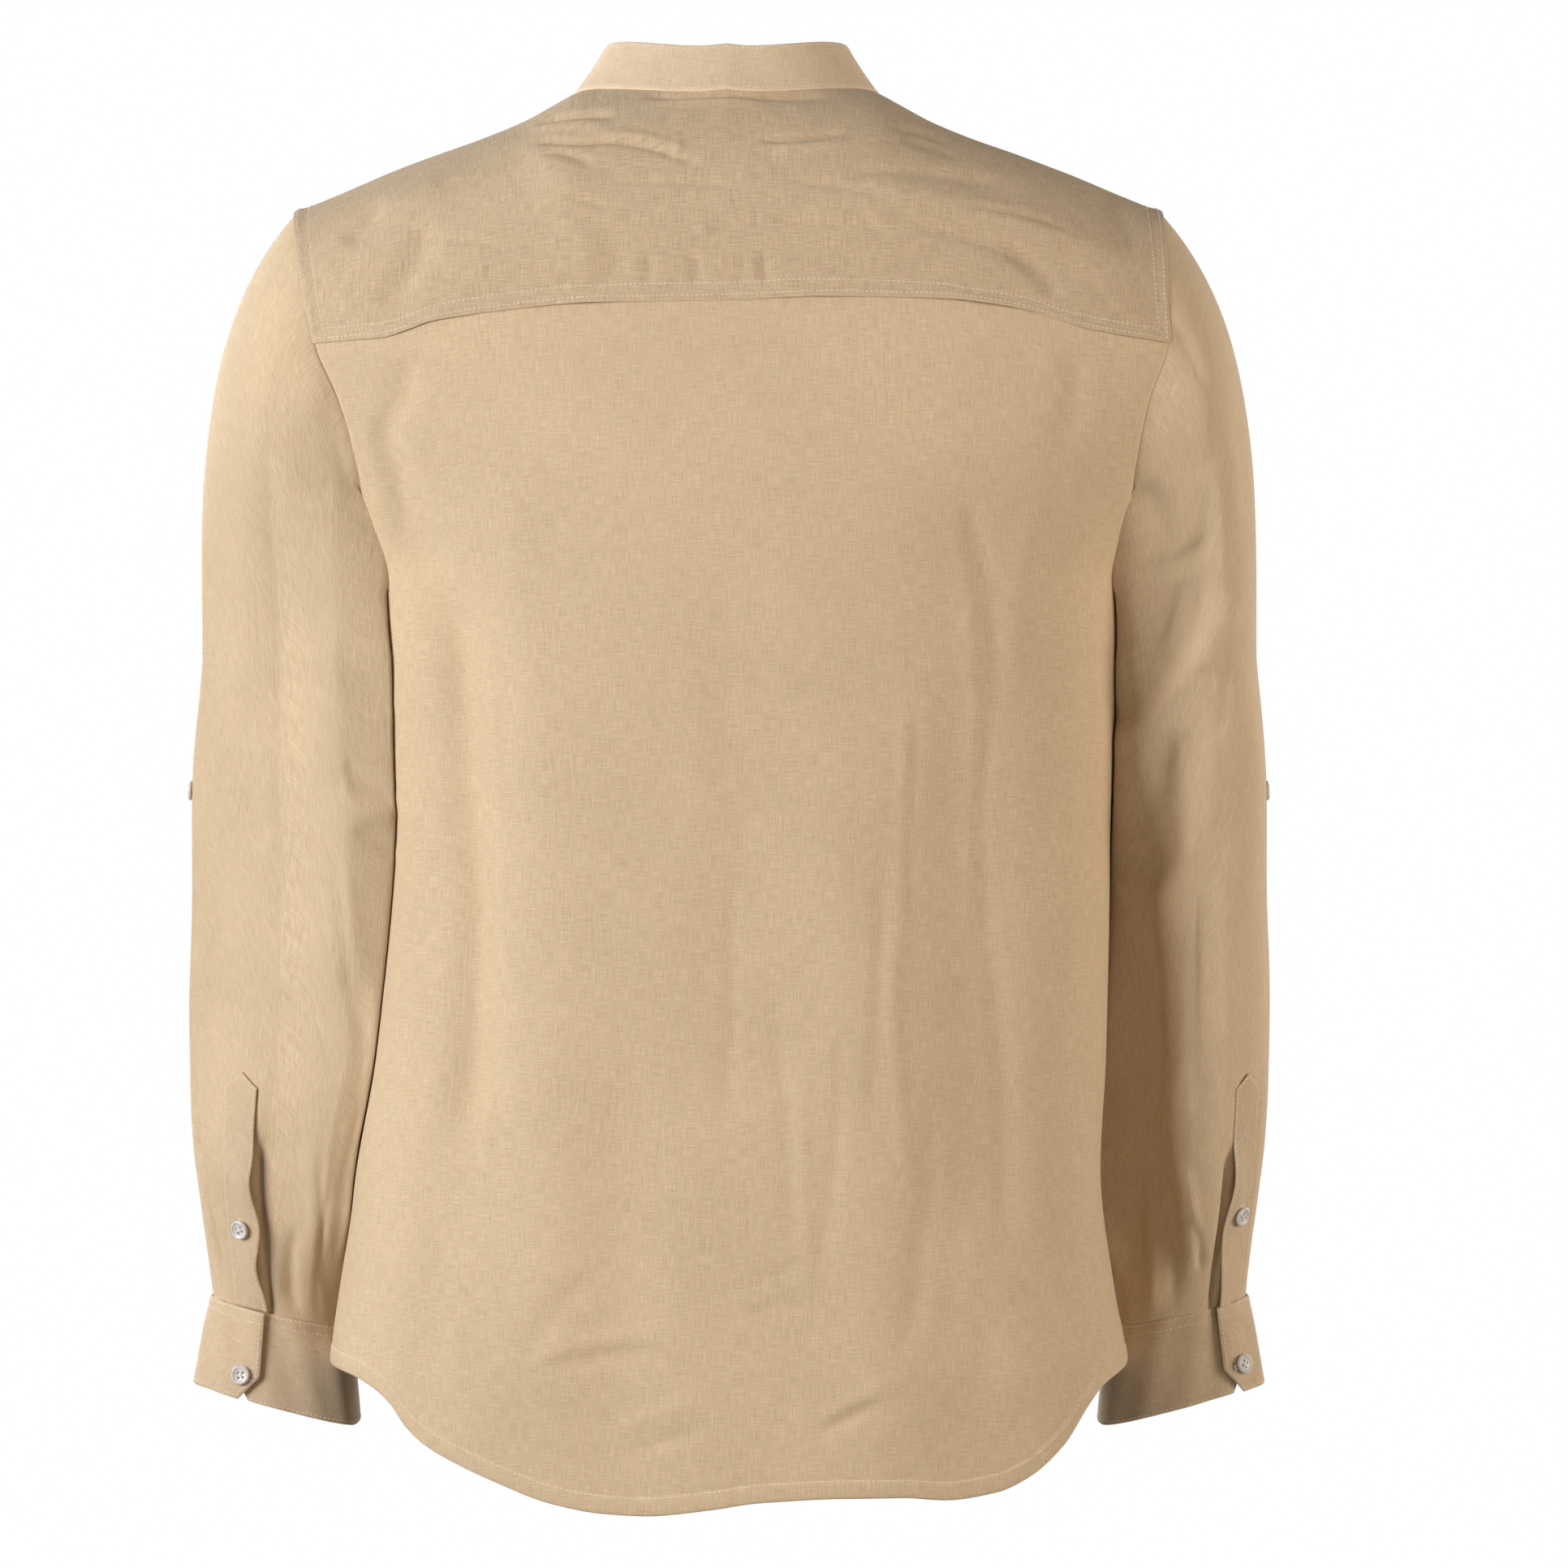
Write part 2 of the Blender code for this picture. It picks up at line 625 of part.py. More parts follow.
def collar_grid():
    """The band that stands on the neckline, its left end over its right end."""
    angles = np.linspace(-COLLAR_END, COLLAR_END, COLLAR_COLUMNS)
    base = neck_point(angles)
    radians = np.radians(angles)
    inward = np.stack([-np.sin(radians), np.cos(radians), 0 * radians], axis=-1)
    spiral = (COLLAR_CLOTH / 2 + LAYER_GAP / 2) * -angles / COLLAR_END
    base = base - inward * spiral[:, None]
    from_end = np.minimum((COLLAR_END - np.abs(angles)) / COLLAR_CORNER, 1)
    rounded = blend(COLLAR_END_HEIGHT, 1.0, np.sqrt(1 - (1 - from_end) ** 2))
    along = unit(np.gradient(base, axis=0))
    stand = inward * COLLAR_LEAN + np.array([0, 0, COLLAR_RISE])
    stand = unit(stand - along * np.sum(stand * along, axis=-1, keepdims=True))
    over_fronts = ease((np.abs(angles) - COLLAR_FRONT_START) / COLLAR_FRONT_BLEND)
    climb = COLLAR_CLIMB + COLLAR_FRONT_CLIMB * over_fronts[:, None]
    curl = inward * COLLAR_BOW
    rows = []
    for share in COLLAR_ROWS:
        reach = COLLAR_HEIGHT * share * rounded[:, None]
        rows.append(base + stand * (climb + reach) + curl * share * (1 - share))
    return np.array(rows)


def add_collar():
    points = collar_grid()
    add_wall("collar", points, COLLAR_AXIS, thickness=COLLAR_CLOTH, colour=SAND_DARK)
    return points


# ---------------------------------------------------------------- sleeves

def sleeve(column, height):
    return smooth(SLEEVE["height"], SLEEVE[column], height)


def body_reach(side, y, height):
    """How far out the front of the body reaches at a depth y."""
    middle = body("front", height)
    seam = body("side_seam", height)
    share = np.clip((y - seam) / (middle - seam), 0, 1)
    power = SQUARENESS[FRONT]
    reach = half_width(FRONT, height) * (1 - share ** power) ** (1 / power)
    return reach + side * body("shift", height)


def sleeve_depth(angle, height):
    """How far forward a section of the sleeve lies at an angle, in radians."""
    middle = blend(sleeve("centre_y", height), sleeve("inner_y", height),
                   (1 + np.cos(angle)) / 2)
    bulge = np.sign(np.sin(angle)) * np.abs(np.sin(angle)) ** (2 / SLEEVE_SQUARENESS)
    return middle - sleeve("half_depth", height) * bulge


def sleeve_inner(side, height):
    """Distance of the sleeve's inner side: clear of the body, then round the wrist."""
    outer = sleeve("outer", height)
    beside = 0 * height
    for angle in np.radians(range(-60, 61, 15)):
        reach = body_reach(side, sleeve_depth(angle, height), height) + SLEEVE_CLEARANCE
        share = math.cos(angle) ** (2 / SLEEVE_SQUARENESS)
        beside = np.maximum(beside, (2 * reach - outer * (1 - share)) / (1 + share))
    return blend(beside, WRIST_INNER, ease((WRIST_START_Z - height) / WRIST_BLEND))


def sleeve_section(side, angle, height):
    """Level section of the sleeve: 0 is the inner side, 90 the back, 180 outside."""
    angle, height = np.broadcast_arrays(np.radians(angle), height)
    outer, inner = sleeve("outer", height), sleeve_inner(side, height)
    cosine = np.cos(angle)
    bulge = np.sign(cosine) * np.abs(cosine) ** (2 / SLEEVE_SQUARENESS)
    x = (outer + inner) / 2 - (outer - inner) / 2 * bulge
    z = height + sleeve("tilt", height) * (1 - cosine)
    return np.stack([side * x, sleeve_depth(angle, height), z], axis=-1)


def sleeve_head(side, angle, share):
    """The sleeve between the armhole and its first level section."""
    start = armhole_point(side, angle)
    end = sleeve_section(side, angle, SLEEVE_TOP_Z + 0 * angle)
    chord = np.linalg.norm(end - start, axis=-1, keepdims=True)
    top = (1 - np.cos(np.radians(angle))) / 2
    slope = np.radians(blend(ARMPIT_SLOPE, CAP_SLOPE, ease(top / CAP_SHARE)))
    leave = np.stack([side * np.cos(slope), 0 * slope, -np.sin(slope)], axis=-1)
    start = start + leave * HEAD_START
    flare = blend(ARMPIT_FLARE, CAP_FLARE, ease(top / CAP_SHARE))[..., None]
    leave = leave * chord * flare
    arrive = np.array([0, 0, -1.0]) * chord
    t = share
    return ((2 * t ** 3 - 3 * t ** 2 + 1) * start + (t ** 3 - 2 * t ** 2 + t) * leave
            + (3 * t ** 2 - 2 * t ** 3) * end + (t ** 3 - t ** 2) * arrive)


HEAD_ROWS = 7
SLEEVE_HEIGHTS = (-345, -383, -420, -460, -500, PLACKET_TOP_Z, -543, -565, -590, -615, -640,
                  -660, -674)
SLEEVE_END_Z = float(SLEEVE_HEIGHTS[-1])
RING_STEP = 15.0                # about half of the angle between two columns


def armhole_angles(side):
    """Angles of the panels' corners round the armhole, from near the placket's column."""
    back = np.linspace(0, 90, ARMHOLE_ROWS + 1)
    over = np.linspace(90, 180 + YOKE_FRONT_ROLL, YOKE_ARMHOLE_COLUMNS)
    front = np.linspace(180 + YOKE_FRONT_ROLL, 270, FRONT_TOP_ROWS + 1)
    under = np.linspace(270, 360, ARMHOLE_ROWS + 1)
    angles = np.concatenate([back[:-1], over[:-1], front[:-1], under[:-1]])
    first = int(np.argmin(np.abs(angles - PLACKET_ANGLE[side] + RING_STEP)))
    return np.concatenate([angles[first:], angles[:first] + 360])


def ring_angles(side, height):
    """Angles round the sleeve, with columns on both edges of the sleeve placket."""
    depth = float(sleeve("half_depth", np.array(float(height))))
    radius = (depth + HALF_SLEEVE) / 2
    half = math.degrees(PLACKET_WIDTH / 2 / radius)
    low, high = PLACKET_ANGLE[side] - half, PLACKET_ANGLE[side] + half
    rest = np.linspace(high, low + 360, len(armhole_angles(side)) - 1)
    return np.concatenate([[low, PLACKET_ANGLE[side]], rest[:-1]])


def sleeve_fold_depth(side, angle, height):
    depth = np.zeros_like(angle)
    for k in np.flatnonzero(SLEEVE_FOLDS["side"] == side):
        fold = {name: column[k] for name, column in SLEEVE_FOLDS.items()}
        along = (height - fold["z_top"]) / (fold["z_bottom"] - fold["z_top"])
        middle = blend(fold["angle_top"], fold["angle_bottom"], np.clip(along, 0, 1))
        off = (angle - middle + 180) % 360 - 180
        start = ease(along / SLEEVE_FADE + SLEEVE_FADE)
        end = ease((SLEEVE_FOLD_REACH - along) / SLEEVE_FADE)
        depth += fold["depth"] * start * end * np.exp(-(off / fold["half_angle"]) ** 2)
    return depth


def sleeve_grid(side):
    rows, angles = [], []
    cut, level = armhole_angles(side), ring_angles(side, SLEEVE_TOP_Z)
    for share in np.linspace(0, 1, HEAD_ROWS + 1):
        ring = blend(cut, level, ease(share))
        rows.append(sleeve_head(side, ring, share))
        angles.append(ring)
    for height in SLEEVE_HEIGHTS:
        ring = ring_angles(side, height)
        rows.append(sleeve_section(side, ring, float(height) + 0 * ring))
        angles.append(ring)
    points, angles = np.array(rows), np.array(angles)
    facing = outward(points, points.mean(axis=1, keepdims=True), closed=True)
    depth = sleeve_fold_depth(side, angles, points[..., 2])
    depth[0] = 0
    depth[-1] = 0
    inner_side = np.cos(np.radians(angles)) > 0.5
    depth[inner_side] = np.minimum(depth[inner_side], 0)
    return points + facing * depth[..., None], facing


def add_sleeve(side, name):
    points, _ = sleeve_grid(side)
    centre = points.mean(axis=1, keepdims=True)
    add_wall(name, points, centre, closed=True)


def placket_grid(side):
    """The pointed strip on the sleeve's slit, made from the sleeve's own points."""
    points, facing = sleeve_grid(side)
    first = HEAD_ROWS + 1 + SLEEVE_HEIGHTS.index(PLACKET_TOP_Z)
    strip, out = points[first:, :3].copy(), facing[first:, :3]
    edges = (0, 2)
    strip[0, edges] = blend(points[first + 1, edges], points[first, edges],
                             PLACKET_POINT)
    return strip + out * (CLOTH + LAYER_GAP)


def add_placket(side, name):
    strip = trim(placket_grid(side), bottom=SEAM_GAP)
    centre = strip.mean(axis=(0, 1)) - placket_out(side) * BEHIND
    add_wall(name, strip, centre, colour=SAND_DARK)


def placket_out(side):
    angle = math.radians(PLACKET_ANGLE[side])
    return np.array([-side * math.cos(angle), -math.sin(angle), 0.0])


def cuff_grid(side):
    """A strip round the wrist, its outer end over its inner end."""
    over_end = PLACKET_ANGLE[side] - CUFF_OVER_ANGLE
    under_end = over_end + 360.0 + CUFF_LAP_ANGLE
    tilt = float(sleeve("tilt", np.array(SLEEVE_END_Z)))
    rows = []
    for share in CUFF_ROWS:
        cut = CUFF_CHAMFER * max(0.0, share - CUFF_CHAMFER_START) / (1 - CUFF_CHAMFER_START)
        angle = np.linspace(over_end + cut, under_end - cut, CUFF_COLUMNS)
        turn = np.radians(angle)
        spiral = CUFF_LAYERS * (0.5 - (angle - over_end) / (under_end - over_end))
        outer = CUFF_TOP_OUTER + CUFF_SPREAD * share
        inner = CUFF_TOP_INNER - CUFF_SPREAD / 2 * share
        half_x = (outer - inner) / 2 + spiral
        half_y = CUFF_HALF_DEPTH + CUFF_SPREAD / 2 * share + spiral
        x = (outer + inner) / 2 - half_x * np.cos(turn)
        y = CUFF_CENTRE_Y - half_y * np.sin(turn)
        drop = CUFF_HEIGHT * share * (1.0 + CUFF_DROP * np.cos(turn))
        z = SLEEVE_END_Z + tilt * (1 - np.cos(turn)) - CUFF_SEAM - drop
        rows.append(np.stack([side * x, y, z], axis=-1))
    return np.array(rows)


def add_cuff(side, name):
    points = cuff_grid(side)
    centre = points.mean(axis=1, keepdims=True)
    add_wall(name, points, centre, thickness=CUFF_CLOTH, colour=SAND_DARK)


# ---------------------------------------------------------------- buttons

def add_button(name, point, direction, thickness):
    """A round button with a dished face, seated on the cloth at a point."""
    out = unit(np.asarray(direction, float))
    across = unit(np.cross(out, BUTTON_FACING))
    up = np.cross(out, across)
    seat = np.asarray(point) + out * (thickness / 2 + BUTTON_SEAT)
    vertices, faces = [seat], []
    for radius, height in zip(BUTTON_PROFILE["radius"], BUTTON_PROFILE["height"]):
        for k in range(BUTTON_SIDES):
            turn = 2 * math.pi * k / BUTTON_SIDES
            spoke = across * math.cos(turn) + up * math.sin(turn)
            vertices.append(seat + spoke * radius * BUTTON_RADIUS + out * height * BUTTON_HEIGHT)
    vertices.append(seat + out * (BUTTON_HEIGHT - BUTTON_DISH))
    rings = len(BUTTON_PROFILE["radius"])
    for k in range(BUTTON_SIDES):
        after = (k + 1) % BUTTON_SIDES
        faces.append((0, 1 + after, 1 + k))
        for ring in range(rings - 1):
            a, b = 1 + ring * BUTTON_SIDES + k, 1 + ring * BUTTON_SIDES + after
            faces.append((a, b, b + BUTTON_SIDES, a + BUTTON_SIDES))
        last = 1 + (rings - 1) * BUTTON_SIDES
        faces.append((last + k, last + after, len(vertices) - 1))
    add_object(name, vertices, faces, CLEAR, roughness=0.25)


def add_button_on(name, points, inside, column, height, thickness):
    """A button on one column of a grid, at a height."""
    facing = outward(points, inside)
    order = np.argsort(points[:, column, 2])
    heights = points[order, column, 2]
    place = [np.interp(height, heights, points[order, column, k]) for k in range(3)]
    out = [np.interp(height, heights, facing[order, column, k]) for k in range(3)]
    add_button(name, place, out, thickness)


def add_buttons(band, collar):
    for k in range(FRONT_BUTTONS):
        height = FIRST_BUTTON_Z - k * BUTTON_SPACING
        add_button_on(f"button_front_{k + 1}", band, TORSO_AXIS, 1, height, BAND_CLOTH)
    add_button_on("button_collar", collar, COLLAR_AXIS, 1, COLLAR_BUTTON_Z, COLLAR_CLOTH)
    for side, name in ((LEFT, "left"), (RIGHT, "right")):
        strip = placket_grid(side)
        behind = strip.mean(axis=(0, 1)) - placket_out(side) * BEHIND
        add_button_on("button_placket_" + name, strip, behind, 1,
                      PLACKET_BUTTON_Z[side], CLOTH)
        wrap = cuff_grid(side)
        axis = wrap.mean(axis=1, keepdims=True)
        add_button_on("button_cuff_" + name, wrap, axis, 1, CUFF_BUTTON_Z[side], CUFF_CLOTH)
        rolled = sleeve_section(side, np.array(180.0), np.array(ROLL_BUTTON_Z))
        add_button("button_roll_" + name, rolled, [side, 0, 0], CLOTH)


def main():
    for leftover in list(bpy.data.objects):
        bpy.data.objects.remove(leftover, do_unlink=True)
    left_front = add_torso()
    band = add_band(left_front)
    collar = add_collar()
    for side, name in ((LEFT, "left"), (RIGHT, "right")):
        add_sleeve(side, "sleeve_" + name)
        add_placket(side, "sleeve_placket_" + name)
        add_cuff(side, "cuff_" + name)
    add_buttons(band, collar)


main()
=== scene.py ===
# %% [markdown]
# # A sand-coloured shirt with a standing collar
# The shirt hangs in the air as if somebody wore it, and it is hollow. Its plain CAD solids
# are loaded first. Each one is then replaced by a thin shell of cloth on the same surface,
# with creases, turned edges, topstitching and a woven finish. The garment's lengths are in
# millimetres, and a mesh is scaled to metres when it is made. Lengths of materials, lights
# and the camera are in metres.

# %% Load the frame and keep its box
import math

import bmesh
import bpy
import numpy as np
from mathutils import Matrix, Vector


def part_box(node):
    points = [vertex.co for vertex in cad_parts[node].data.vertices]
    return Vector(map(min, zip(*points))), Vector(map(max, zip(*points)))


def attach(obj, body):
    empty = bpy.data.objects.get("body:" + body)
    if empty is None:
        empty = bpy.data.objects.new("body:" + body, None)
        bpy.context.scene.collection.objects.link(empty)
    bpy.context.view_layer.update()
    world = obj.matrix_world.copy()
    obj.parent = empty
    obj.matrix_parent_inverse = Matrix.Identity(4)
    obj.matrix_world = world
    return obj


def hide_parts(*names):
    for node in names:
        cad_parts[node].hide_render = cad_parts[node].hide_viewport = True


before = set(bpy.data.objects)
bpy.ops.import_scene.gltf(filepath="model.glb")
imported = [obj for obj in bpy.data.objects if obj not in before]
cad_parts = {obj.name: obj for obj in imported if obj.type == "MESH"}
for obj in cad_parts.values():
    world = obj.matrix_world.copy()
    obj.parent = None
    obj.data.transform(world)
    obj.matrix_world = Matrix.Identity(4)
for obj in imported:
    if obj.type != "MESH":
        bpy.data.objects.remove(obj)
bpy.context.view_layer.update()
print("CAD nodes:", len(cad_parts))

MM = 0.001
BACK, FRONT = -1, 1
LEFT, RIGHT = -1, 1
BOTH_SIDES = ((LEFT, "left"), (RIGHT, "right"))
ALL_ROUND = ("top", "bottom", "left", "right")

# %% [markdown]
# ## Curves through short tables
# A garment's shape is smooth, and a pattern maker writes it down as a few measures at known
# heights. A monotone cubic curve through such a table never overshoots, so a waist stays a
# waist. A spline of Blender's own would also do, but these curves are read inside formulas.

# %% Helpers for tables and smooth curves
def table(columns, *rows):
    """A short table as a dictionary from column name to array."""
    return dict(zip(columns.split(), np.array(rows, float).T))


def rows_of(records):
    """The rows of a table, each as a dictionary."""
    count = len(next(iter(records.values())))
    return [{name: column[k] for name, column in records.items()} for k in range(count)]


def hermite(t, start, leave, end, arrive, length=1.0):
    """A smooth way from start to end, which leaves and arrives at given slopes."""
    return ((2 * t ** 3 - 3 * t ** 2 + 1) * start
            + (t ** 3 - 2 * t ** 2 + t) * leave * length
            + (3 * t ** 2 - 2 * t ** 3) * end
            + (t ** 3 - t ** 2) * arrive * length)


def smooth(keys, values, at):
    """Read a monotone cubic curve through (keys, values); the keys rise."""
    step = np.diff(keys)
    slope = np.diff(values) / step
    product = slope[:-1] * slope[1:]
    total = slope[:-1] + slope[1:]
    tangent = np.concatenate([slope[:1], np.zeros(len(product)), slope[-1:]])
    same_way = product > 0
    tangent[1:-1][same_way] = 2 * product[same_way] / total[same_way]
    at = np.clip(at, keys[0], keys[-1])
    cell = np.clip(np.searchsorted(keys, at) - 1, 0, len(step) - 1)
    return hermite((at - keys[cell]) / step[cell], values[cell], tangent[cell],
                   values[cell + 1], tangent[cell + 1], step[cell])


def unit(vectors):
    return vectors / np.maximum(np.linalg.norm(vectors, axis=-1, keepdims=True), 1e-9)


def blend(start, end, t):
    return start + (end - start) * t


def ease(t):
    """0 below 0, 1 above 1, and a smooth step between them."""
    t = np.clip(t, 0.0, 1.0)
    return t * t * (3 - 2 * t)


# %% [markdown]
# ## The form of the torso
# The body of the shirt is a tube with rounded corners, a little wider at the chest and the
# hem than at the waist. Above the armpits it closes over the shoulders to the neckline. One
# set of formulas gives the point at any place of it, so the back, the yoke and the fronts
# meet exactly, as panels cut from one pattern do.

# %% Measures of the torso
RIDGE_Y = 5.0                   # the shoulder line, and the armpit below it
LEVEL_Z = -143.0                # where the yoke meets the armhole
ARMPIT_Z = -268.0
TIP_X = 232.0                   # shoulder tip
CORNER_Y = {BACK: -82.0, FRONT: 75.0}
FRONT_HOLLOW = 9.0              # the armhole cuts further in at the front
SQUARENESS = {BACK: 2.3, FRONT: 2.1}
BODY = table(
    "height half_width back front side_seam shift",
    (-770, 215.0, -120, 126, -9, 0.0),
    (-690, 214.5, -119, 125, -8, 0.3),
    (-650, 209.0, -117, 123, -6, -0.8),
    (-598, 201.7, -115, 121, -4, -0.5),
    (-522, 197.5, -113, 121, -1, 6.4),
    (-416, 195.5, -116, 124, 2, 10.6),
    (-345, 199.5, -121, 128, 4, 9.9),
    (-268, 204.3, -125, 131, 5, 9.2),
    (-222, 204.6, -125, 131, 5, 10.3),
    (-196, 208.4, -124, 130, 5, 9.8),
    (-173, 214.2, -122, 127, 5, 8.8),
    (-143, 225.0, -120, 122, 5, 7.5),
    (-115, 227.0, -118, 118, 5, 4.0),
    (-65, 228.0, -118, 118, 5, 0.0),
    (0, 228.0, -118, 118, 5, -0.7))
HEM = table(
    "across height",
    (-1.00, -688), (-0.93, -691), (-0.87, -697), (-0.83, -704), (-0.79, -715),
    (-0.74, -724), (-0.66, -733), (-0.56, -742), (-0.43, -752), (-0.30, -757),
    (-0.20, -758), (-0.05, -755), (0.08, -751), (0.28, -749), (0.42, -749),
    (0.54, -751), (0.66, -748), (0.74, -741), (0.83, -725), (0.89, -706),
    (0.93, -696), (1.00, -688))
FRONT_HEM = table(
    "across height",
    (0.0, -744), (0.40, -743), (0.60, -737), (0.75, -724), (0.83, -711),
    (0.90, -699), (0.95, -692), (1.00, -688))
YOKE_SEAM = table(
    "across height",
    (-1.0, -143), (-0.83, -141), (-0.78, -138), (-0.71, -133), (-0.6, -129.5),
    (-0.36, -124.5), (0.0, -123), (0.2, -121), (0.47, -122), (0.57, -124.5),
    (0.67, -128), (0.8, -136.5), (1.0, -143))
SHOULDER = table(
    "out back front",
    (0, 13, -53), (40, 7, -39), (75, -1, -8), (83, -4, -5), (92, -9, -9), (109, -18.5, -18.5),
    (132, -28, -28), (157, -37, -37), (181, -46, -46), (205, -56, -56), (240, -70, -70))


def squarer(wave, power):
    """A wave with its values raised to a power and their signs kept."""
    return np.sign(wave) * np.abs(wave) ** power


def body(column, height):
    return smooth(BODY["height"], BODY[column], height)


print("waist:", round(2 * float(body("half_width", np.array(-416.0)))), "mm across")

# %% [markdown]
# ### Sections of the body
# Each level section is a quarter of a superellipse on either side of the middle: squarer
# than an ellipse, as cloth over shoulder blades is. A column from -1 to 1 counts the angle
# across, so the points lie closer together where the section bends.

# %% Points of the body below the shoulders
def hem_height(face, across):
    if face == BACK:
        return smooth(HEM["across"], HEM["height"], across)
    return smooth(FRONT_HEM["across"], FRONT_HEM["height"], np.abs(across))


def level_height(face, across):
    """The height at which the torso's sections end and the shoulder begins."""
    if face == BACK:
        return smooth(YOKE_SEAM["across"], YOKE_SEAM["height"], across)
    return LEVEL_Z + 0 * across


def edge_y(face, height):
    """Where a section ends: on the armhole above the armpit, on the side seam below."""
    drop = np.clip((height - LEVEL_Z) / (ARMPIT_Z - LEVEL_Z), 0, 1)
    armhole = RIDGE_Y + (CORNER_Y[face] - RIDGE_Y) * np.sqrt(1 - drop ** 2)
    return np.where(height > ARMPIT_Z, armhole, body("side_seam", height))


def section_turn(face, height):
    """How much of a quarter turn a section makes before it meets the armhole."""
    middle = body("back" if face == BACK else "front", height)
    seam = body("side_seam", height)
    power = SQUARENESS[face]
    cut = np.clip((edge_y(face, height) - seam) / (middle - seam), 0, 1)
    return np.arcsin((1 - cut ** power) ** (1 / power))


def across_of(face, column, height):
    """Share of the half width that a column (-1 to 1) lies at."""
    turn = section_turn(face, height)
    return np.sin(turn * column) / np.sin(turn)


def column_of(face, across, height):
    """The column that lies at a share of the half width."""
    turn = section_turn(face, height)
    return np.arcsin(np.clip(across * np.sin(turn), -1, 1)) / turn


def half_width(face, height):
    width = body("half_width", height)
    if face == FRONT:
        rise = np.clip((height - ARMPIT_Z) / (LEVEL_Z - ARMPIT_Z), 0, 1)
        width = width - FRONT_HOLLOW * np.sin(rise * np.pi / 2) ** 2
    return width


def section_point(face, column, height):
    """Point of the torso below the shoulders. Columns run from -1 to 1 across."""
    column, height = np.broadcast_arrays(column, height)
    turn = section_turn(face, height)
    power = SQUARENESS[face]
    swing = np.abs(np.sin(turn * column))
    bow = 1 - np.maximum(1 - swing ** power, 0) ** (1 / power)
    middle = body("back" if face == BACK else "front", height)
    x = body("shift", height) + half_width(face, height) * across_of(face, column, height)
    y = middle + (body("side_seam", height) - middle) * bow
    return np.stack([x, y, height], axis=-1)


# %% [markdown]
# ### Over the shoulders
# Above the sections the surface rolls over to the shoulder line. The roll is counted like
# an angle, 0 on the shoulder line and 90 where the sections begin. The neckline is then an
# ellipse seen from above, laid on that surface, and the armhole is the rim of it.

# %% Points of the shoulders, the neckline and the armholes
NECK_HALF_WIDTH = 83.0
NECK_BACK = 73.0                # from the shoulder line to the collar seam at the back
NECK_FRONT = 57.0


def shoulder_power(face, across):
    """Roundness of the profile from the shoulder line down to the torso."""
    if face == BACK:
        return 2.2 + 0 * across
    return 1.4 + 0.6 * across ** 2


def shoulder_point(face, column, roll):
    """Point above the torso's sections. Roll is 0 on the shoulder line, 90 at its end."""
    column, roll = np.broadcast_arrays(column, np.radians(roll))
    across = across_of(face, column, LEVEL_Z)
    level = level_height(face, across)
    rim = section_point(face, column, level)
    width = half_width(face, level)
    width = width + (TIP_X - width) * np.cos(roll)
    reach = width * across
    ridge = smooth(SHOULDER["out"], SHOULDER["back" if face == BACK else "front"],
                   np.abs(reach))
    power = 2 / shoulder_power(face, across)
    y = RIDGE_Y + (rim[..., 1] - RIDGE_Y) * np.maximum(np.sin(roll), 0) ** power
    z = level + (ridge - level) * np.maximum(np.cos(roll), 0) ** power
    return np.stack([body("shift", z) + reach, y, z], axis=-1)


def neck_place(angle):
    """Column and roll of the collar seam at an angle from the centre back."""
    angle = np.radians(np.asarray(angle, float))
    forward = np.cos(angle) < 0
    x = NECK_HALF_WIDTH * np.sin(angle)
    reach = np.where(forward, NECK_FRONT, NECK_BACK) * np.abs(np.cos(angle))
    column = column_of(BACK, x / TIP_X, LEVEL_Z)
    roll = np.zeros_like(column)
    for _ in range(4):
        for face in (BACK, FRONT):
            here = forward if face == FRONT else ~forward
            across = across_of(face, column, LEVEL_Z)
            level = level_height(face, across)
            rim_y = section_point(face, column, level)[..., 1]
            share = np.clip(reach / np.abs(rim_y - RIDGE_Y), 0, 1)
            rolled = np.arcsin(share ** (shoulder_power(face, across) / 2))
            width = half_width(face, level)
            width = width + (TIP_X - width) * np.cos(rolled)
            moved = column_of(face, x / width, LEVEL_Z)
            roll = np.where(here, rolled, roll)
            column = np.where(here, moved, column)
    return column, np.degrees(roll), forward


def neck_point(angle):
    column, roll, forward = neck_place(angle)
    back = shoulder_point(BACK, column, roll)
    front = shoulder_point(FRONT, column, roll)
    return np.where(forward[..., None], front, back)


def armhole_point(side, angle):
    """Point of the armhole: 0 is the armpit, 90 the back, 180 the shoulder tip."""
    angle = np.asarray(angle, float) % 360
    face_is_back = angle <= 180
    folded = np.where(face_is_back, angle, 360 - angle)
    points = []
    for face in (BACK, FRONT):
        low = LEVEL_Z + (ARMPIT_Z - LEVEL_Z) * np.cos(np.radians(np.minimum(folded, 90)))
        low_point = section_point(face, side + 0 * folded, low)
        high_point = shoulder_point(face, side + 0 * folded, 180 - np.maximum(folded, 90))
        points.append(np.where((folded < 90)[..., None], low_point, high_point))
    return np.where(face_is_back[..., None], points[0], points[1])


# %% [markdown]
# ## Cloth as a thin shell
# Real shirt cloth is about a third of a millimetre thick, and two or three layers lie at
# every seam. A panel here is a grid of points on the garment's surface with an outer and an
# inner layer and a closed rim. A Solidify modifier could thicken a plain sheet, but a shell
# made by hand can be thinner towards an edge, so that a turned edge looks soft.

# %% A panel of cloth
CLOTH = 0.8                     # one layer, drawn a little thicker than the real one
TURNED = ((0.0, 0.35), (0.3, 0.82))     # a turned edge: distance from it, thickness there
PRESSED = ((0.0, 0.15), (1.0, 0.55))    # an edge that is pressed flat into a seam
FAR = 30.0                      # the greatest distance from a seam that is written down


